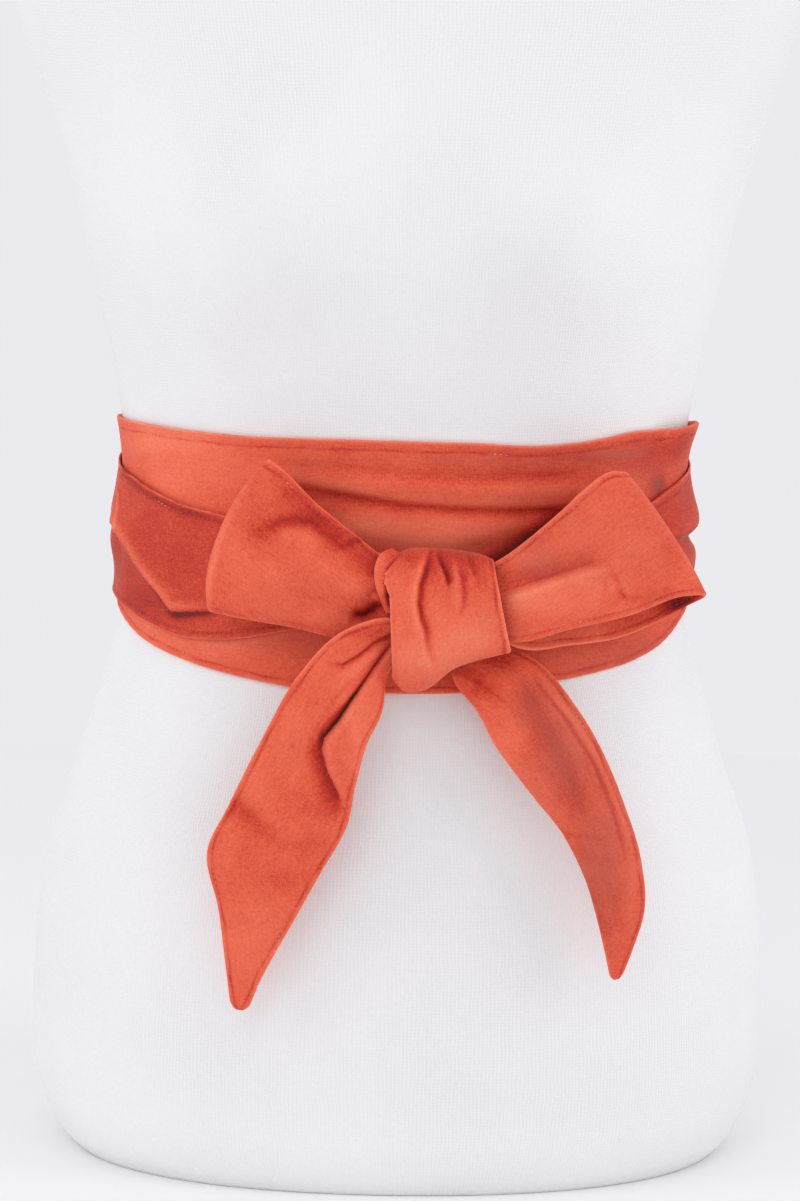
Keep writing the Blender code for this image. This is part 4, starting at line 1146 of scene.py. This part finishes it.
def stripMiddle(settings):
    # middle surface of a strip, with each point's place along and across it
    rows = np.array(settings["strip"], float)
    top = rows[:, [0, 1, 2]] * (1, -1, 1)
    low = rows[:, [3, 4, 5]] * (1, -1, 1)
    steps = np.linalg.norm(np.diff((top + low) / 2, axis=0), axis=1)
    knots = np.concatenate([[0], np.cumsum(np.maximum(steps, bow["leastStep"]))])
    at = rowsAlong(knots[-1], bow["rowStep"])
    top, low = (np.stack([smoothThrough(knots, edge[:, axis], at) for axis in range(3)], axis=1)
                for edge in (top, low))
    if settings.get("tip"):
        # the end of a tail is turned in a small round
        turned = np.clip((at - knots[-1] + settings["tip"]) / settings["tip"], 0, 1)
        keep = np.sqrt(1 - (bow["tipClose"] * turned) ** 2)[:, None]
        top, low = (top + low) / 2 + (top - low) / 2 * keep, (top + low) / 2 - (top - low) / 2 * keep
    belly = smoothThrough(knots, rows[:, 6], at)[:, None]
    side = smoothThrough(knots, rows[:, 7], at)[:, None]
    width = np.linalg.norm(low - top, axis=1)
    places = placesAcross(width, bow["acrossStep"], settings["hem"], at)
    share = places["place"] / width[:, None]
    grid = top[:, None] * (1 - share[..., None]) + low[:, None] * share[..., None]
    arch = 1 - abs(2 * share - 1) ** bow["archPower"]
    grid[..., 0] += side * arch
    grid[..., 1] -= belly * arch
    row = np.interp(at, knots, np.arange(len(rows)))
    inFront = 1 - fadeIn(row, *(settings["frontRows"] + step for step in bow["turnsBack"]))
    return grid, places, at, inFront[:, None]


def stripPiece(name, node, settings):
    # one loop, tail or turn of the bow
    grid, places, at, inFront = stripMiddle(settings)
    x, z = grid[..., 0].copy(), grid[..., 2].copy()
    along, place = at[:, None] + 0 * x, places["place"]
    hem, tip, uneven = settings["hem"], settings.get("tip"), stitchUneven(at)
    rise = creaseField(x, z, settings["creases"]) * inFront
    edge = np.minimum(places["fromStart"], places["fromStop"])
    grid[..., 1] -= rise + unevenness(along, place, edge, settings["seed"], bow)
    end = np.minimum(along, along[-1] - along)
    half = clothHalf(places, end, hem, uneven)[..., None]
    normal = gridNormals(grid)
    if normal[: len(normal) // 3, :, 1].mean() > 0:
        normal = -normal
    front, back = grid + normal * half, grid - normal * half
    # lighter or darker patches, some of them painted shade and highlight, and painted shade and highlight
    # beside creases
    painted = patchTone(x, z, settings["patches"]) + creaseField(x, z, settings["shades"])
    painted = painted * inFront + patchTone(x, z, settings.get("innerPatches", [])) * (1 - inFront)
    tone = settings["tone"] + painted + hemHighlightAndShade(places, hem, uneven)
    dust = patchTone(x, z, settings["paintedSheenPatches"]) * inFront
    made = clothPiece(name, front, back, along, place, tone, dust)
    first, last = belt["unsewnRows"], len(front) - 1 - belt["unsewnRows"]
    if tip:
        last = int(np.argmin(abs(at - (at[-1] - tip * bow["tipSewn"]))))
    for face in (front, back):
        columns = (("start", grooveColumn), ("stop", -1 - grooveColumn))
        sewn = [face[first:last, column] for side, column in columns if hem[side][1] > 0]
        if tip and len(sewn) == 2:
            sewn = [np.concatenate([sewn[0], sewn[1][::-1]])]
        stitchPaths.extend(sewn)
    standFor(made, node)


# Knot: the band round the middle and the cloth packed inside it

knot = {
    "band": [  # x, lean to the right on the way down, top, bottom, crown ahead
        (-6.5, 0, 348.5, 280.5, 163), (2, 0, 352, 277, 165.5), (13, 1, 352.5, 279.2, 168),
        (24, 3, 352, 289.6, 169), (34, 5, 351, 294.2, 167.5), (42, 7, 349, 296.7, 165),
        (47.5, 9.5, 346.5, 298.6, 163),
    ],
    "centre": 146,          # the knot's middle, ahead of the form's axis
    "bandBack": 19.4,       # the band reaches this far behind it
    "turns": (128, -100),   # from over the top to under the bottom, 0 is the front
    "square": 2.6,          # 2 would be round
    "pathPoints": 400,      # for measuring the way round
    "leftEdge": [  # height, how far the soft left edge stands to the right of its table
        (276, 2.6), (284, 1.8), (296, 1.3), (315, 0.4), (325, 0.0), (330, -0.6), (333.5, -2.0),
        (337.5, -2.9), (342.5, -2.3), (348, 0.4), (353, 3.4),
    ],
    "leftFade": 13,         # over which that edge gives way to the table
    "leftRoll": (3.2, 6),   # it is a fold that rolls back: how far, over which width
    "gathers": [
        ([(14.8, 357), (14.5, 354), (11.6, 346), (8.9, 337), (8.2, 327), (9.8, 318.5), (12.1, 312),
          (12.6, 306.5), (14, 300), (17, 294)], -3.2, 4.6, 0.8),
        ([(17, 356), (18.8, 351), (21.4, 346), (23.2, 341), (23.4, 336)], -2.6, 3.2, 1.4),
        ([(28, 346), (30.4, 341), (31.4, 334), (30.6, 326), (28.6, 319.5)], -1.3, 3.2, 0.9),
        ([(32.5, 353), (36, 346), (38, 340)], -1.1, 2.6, 1.6),
        ([(39.2, 353), (43, 346)], -0.7, 2.4, 1.6),
    ],
    "gatherFull": 48,       # gathers fade out between these turns
    "gatherNone": 106,
    "deepest": 3.9,         # no gather sinks further
    "uneven": 0.2,
    "unevenLength": 20,
    "seed": 71,
    "step": 0.8,
    "unsewnRows": 4,
    "shades": [
        ([(15, 355), (12, 347), (9.4, 338), (8.6, 327), (10.2, 318.5), (12.5, 311), (13.2, 304)],
         -0.17, 2.6, 0.6),
        ([(13, 352), (9, 344), (6.6, 336), (5.6, 326), (7.4, 317), (9.8, 309)], 0.18, 1.5, 3.0),
        ([(17.2, 354), (19.4, 349), (22, 344), (23.6, 339), (23.6, 334.5)], -0.15, 2.0, 0.9),
        ([(33, 352), (36.4, 346), (38.6, 340), (39, 334)], -0.10, 2.6, 1.2),
        ([(26.5, 352), (27, 344), (27.6, 336), (28.2, 326)], 0.12, 2, 2),
        ([(30, 345), (31.6, 339), (32, 331), (30.8, 322)], -0.08, 2.4, 0.8),
    ],
    "patches": [
        (26, 350, 26, 8, -0.21), (22, 342, 10, 8, -0.08), (-2, 326, 6, 24, 0.08),
        (12, 298, 28, 13, 0.20), (38, 312, 16, 14, 0.18), (18, 322, 5, 10, 0.06), (3, 350, 8, 4, -0.12),
    ],
    "paintedSheenPatches": [(20, 292, 30, 12, 0.12), (40, 316, 10, 14, 0.08)],
    "tone": 0.0,
    "hem": {"start": (3.2, 0.0), "stop": (2.2, 0.9)},
    "flat": {"flat": (0.066, 0.115), "area": 0.0064, "held": "gathered", "rests_on": ["knotCoreVelvet"]},
}
knotCore = {
    "ends": (2.4, 45.6),    # x of both ends
    "inset": 6.9,           # inside the band's outer face
    "rounding": 2.5,        # and further in at the ends
    "seat": 0.5,            # off the ties that it lies on
    "rings": 40,
    "sides": 96,
    "folds": 9,
    # painted highlight and shade in stripes stand in for the core's folds, and tone makes the whole core
    # darker
    "foldShading": 0.25,
    "tone": -0.3,
    "sharpFrom": 50,
}


def knotSection(x, turn, inset, back, lean=1):
    # points round the knot at x, inset from its outer face
    rows = np.array(knot["band"], float)
    top = smoothThrough(rows[:, 0], rows[:, 2], x) - inset
    low = smoothThrough(rows[:, 0], rows[:, 3], x) + inset
    crown = smoothThrough(rows[:, 0], rows[:, 4], x) - inset - knot["centre"]
    turn = np.radians(turn)
    power = 2 / knot["square"]
    forward = np.sign(np.cos(turn)) * abs(np.cos(turn)) ** power
    upward = np.sign(np.sin(turn)) * abs(np.sin(turn)) ** power
    ahead = knot["centre"] + forward * np.where(forward > 0, crown, back)
    z = (top + low) / 2 + upward * (top - low) / 2
    moved = lean * smoothThrough(rows[:, 0], rows[:, 1], x) * (top - z) / (top - low)
    edge = np.array(knot["leftEdge"], float)
    leftOnly = 1 - fadeIn(x, rows[0, 0], rows[0, 0] + knot["leftFade"])
    soft = lean * np.interp(z, edge[:, 0], edge[:, 1]) * leftOnly
    return np.stack([x + moved + soft, -ahead, z], axis=-1)


def makeBand():
    start, stop = knot["band"][0][0], knot["band"][-1][0]
    turns = np.linspace(*knot["turns"], knot["pathPoints"])
    roundPath = knotSection((start + stop) / 2 + 0 * turns, turns, 0, knot["bandBack"])
    along = np.concatenate([[0], np.cumsum(np.linalg.norm(np.diff(roundPath, axis=0), axis=1))])
    at = rowsAlong(along[-1], knot["step"])
    places = placesAcross(np.full(len(at), stop - start), knot["step"], knot["hem"], at)
    across = start + places["place"]
    turn = np.interp(at, along, turns)[:, None] + 0 * across
    lengthwise = at[:, None] + 0 * across
    uneven = stitchUneven(at)
    half = clothHalf(places, np.minimum(lengthwise, at[-1] - lengthwise), knot["hem"], uneven)[..., None]
    outer = knotSection(across, turn, 0, knot["bandBack"])
    x, z = outer[..., 0], outer[..., 2]
    facing = np.clip((knot["gatherNone"] - abs(turn)) / (knot["gatherNone"] - knot["gatherFull"]), 0, 1)
    sink = np.clip(-creaseField(x, z, knot["gathers"]) * facing, 0, knot["deepest"])
    sink = sink + waves(lengthwise, across, knot["unevenLength"], knot["seed"]) * knot["uneven"]
    far, width = knot["leftRoll"]
    sink = sink + far * (1 - np.clip(places["fromStart"] / width, 0, 1)) ** 2
    inward = knotSection(across, turn, 1, knot["bandBack"] - 1) - outer
    middle = outer + inward * (belt["thickness"] / 2 + sink[..., None])
    front, back = middle - inward * half, middle + inward * half
    # lighter or darker patches, painted shade and highlight beside the gathers, and the hem's painted
    # highlight and shade
    tone = knot["tone"] + patchTone(x, z, knot["patches"]) + creaseField(x, z, knot["shades"]) * facing
    tone = tone + hemHighlightAndShade(places, knot["hem"], uneven)
    dust = patchTone(x, z, knot["paintedSheenPatches"])
    made = clothPiece("knotBandVelvet", front, back, lengthwise, across, tone, dust)
    stitchPaths.append(front[knot["unsewnRows"]:-knot["unsewnRows"], -1 - grooveColumn])
    standFor(made, "knot_band")


def makeCore():
    first, last = knotCore["ends"]
    turns = np.arange(knotCore["sides"]) * 360 / knotCore["sides"]
    turn, x = np.meshgrid(turns, np.linspace(first, last, knotCore["rings"]))
    end = abs(2 * (x - first) / (last - first) - 1)
    middle = (knot["band"][0][2] + knot["band"][0][3]) / 2
    tiesOut = belt["bodyGap"] + belt["tieLayer"] * belt["layer"] + belt["thickness"]
    halfWidth = onForm(90, middle, tiesOut)[0]
    seat = -onForm(0, middle, tiesOut + knotCore["seat"])[1] * np.sqrt(1 - (x / halfWidth) ** 2)
    inset = knotCore["inset"] + knotCore["rounding"] * end**4
    points = knotSection(x, turn, inset, knot["centre"] - seat, lean=0).reshape(-1, 3)
    count, sides = x.shape
    faces = [list(range(sides)), list(range((count - 1) * sides, count * sides))]
    for low in range(0, (count - 1) * sides, sides):
        for side in range(sides):
            after = (side + 1) % sides
            faces.append([low + side, low + after, low + sides + after, low + sides + side])
    mesh = bpy.data.meshes.new("knotCoreVelvet")
    mesh.from_pydata((points * mm).tolist(), [], faces)
    turnOutwards(mesh)
    corners = np.empty(len(mesh.loops), np.int32)
    mesh.loops.foreach_get("vertex_index", corners)
    setMap(mesh, "cloth", points[corners][:, [0, 2]] * mm)
    # painted highlight and shade in stripes round the core, in place of folds
    folds = knotCore["foldShading"] * np.sin(np.radians(turn) * knotCore["folds"]).ravel() + knotCore["tone"]
    setLevel(mesh, "tone", folds)
    setLevel(mesh, "dust", 0 * folds)
    mesh.shade_smooth()
    mesh.set_sharp_from_angle(angle=math.radians(knotCore["sharpFrom"]))
    mesh.materials.append(velvetMaterial())
    standFor(newObject("knotCoreVelvet", mesh), "knot_core")


# Camera, floor and light

view = {
    "focal": 166.5,          # millimetres on a 36 mm frame, the long side
    "distance": 3.0,         # metres in front of the form's axis
    "height": 0.80,
    "pitch": 9.45,
    "roll": 0.8,
    "shiftPixels": 2.5,
    "imageHeight": 1201,
    "farthest": 20,          # metres that the camera sees
}


def makeCamera():
    data = bpy.data.cameras.new("camera")
    data.lens = view["focal"]
    data.shift_x = -view["shiftPixels"] / view["imageHeight"]
    data.clip_end = view["farthest"]
    camera = newObject("camera", data)
    camera.matrix_world = (
        Matrix.Translation((0, -view["distance"], view["height"]))
        @ Matrix.Rotation(math.radians(90 - view["pitch"]), 4, "X")
        @ Matrix.Rotation(math.radians(view["roll"]), 4, "Z"))
    bpy.context.scene.camera = camera


studio = {
    "sky": (0.845, 0.845, 0.875),
    "skyStrength": 0.98,
    "floor": (0.905, 0.905, 0.916),
    # painted light: the floor is lighter near the form
    "floorNearPaintedLight": (0.925, 0.925, 0.935),
    "floorFade": (0.25, 0.8),  # metres from the form's axis
    "floorRadius": 1.15,
    "floorSides": 96,
    "floorDrop": 0.0002,     # just under the base
    "floorRoughness": 0.7,
    "lights": [  # name, place, aims at, width, height, watts
        ("softbox left", (-2.1, -0.9, 1.2), (0, -0.02, 0.36), 1.0, 1.5, 9.5),
        ("softbox right", (2.1, -0.9, 1.2), (0, -0.02, 0.36), 1.0, 1.5, 11.0),
        ("softbox front", (-0.7, -2.4, 2.2), (0, -0.05, 0.35), 1.2, 1.0, 5.0),
    ],
}


def makeStudio():
    scene = bpy.context.scene
    scene.view_settings.view_transform = "Standard"
    world = bpy.data.worlds.new("studio")
    world.use_nodes = True
    shade = world.node_tree.nodes["Background"]
    shade.inputs["Color"].default_value = (*studio["sky"], 1)
    shade.inputs["Strength"].default_value = studio["skyStrength"]
    scene.world = world
    for name, place, aim, wide, tall, watts in studio["lights"]:
        data = bpy.data.lights.new(name, "AREA")
        data.shape = "RECTANGLE"
        data.size, data.size_y = wide, tall
        data.energy = watts
        away = Vector(place) - Vector(aim)
        turned = away.to_track_quat("Z", "Y").to_matrix().to_4x4()
        newObject(name, data).matrix_world = Matrix.Translation(place) @ turned
    bpy.ops.mesh.primitive_circle_add(
        vertices=studio["floorSides"], radius=studio["floorRadius"], fill_type="NGON",
        location=(0, 0, -studio["floorDrop"]))
    floor = bpy.context.object
    floor.name = "floor"
    material, tree = newMaterial("pale floor", studio["floor"])
    place = tree.node("ShaderNodeTexCoord", output="Object")
    distance = tree.node("ShaderNodeVectorMath", {"operation": "LENGTH"}, {0: place}, output="Value")
    near, far = studio["floorFade"]
    # painted light near the form's base, over the shade that the form casts
    tint = ramp(tree, distance, [(near, studio["floorNearPaintedLight"]), (far, studio["floor"])])
    finishMaterial(tree, {"Base Color": tint, "Roughness": studio["floorRoughness"]})
    floor.data.materials.append(material)


makeCamera()
makeStudio()
print("stage: camera, floor and light")
makeForm()
print("stage: dress form")
makePanel()
makeTie("tieToRightVelvet", "tie_to_right", tieToRight)
makeTie("tieToLeftVelvet", "tie_to_left", tieToLeft)
print("stage: panel and ties")
makeCore()
makeBand()
stripPiece("knotTurnVelvet", "knot_turn", knotTurn)
stripPiece("loopLeftVelvet", "loop_left", loopLeft)
stripPiece("loopRightVelvet", "loop_right", loopRight)
stripPiece("tailLeftVelvet", "tail_left", tailLeft)
stripPiece("tailRightVelvet", "tail_right", tailRight)
print("stage: bow")
makeStitches()
print("stage: topstitch")

bpy.context.view_layer.update()
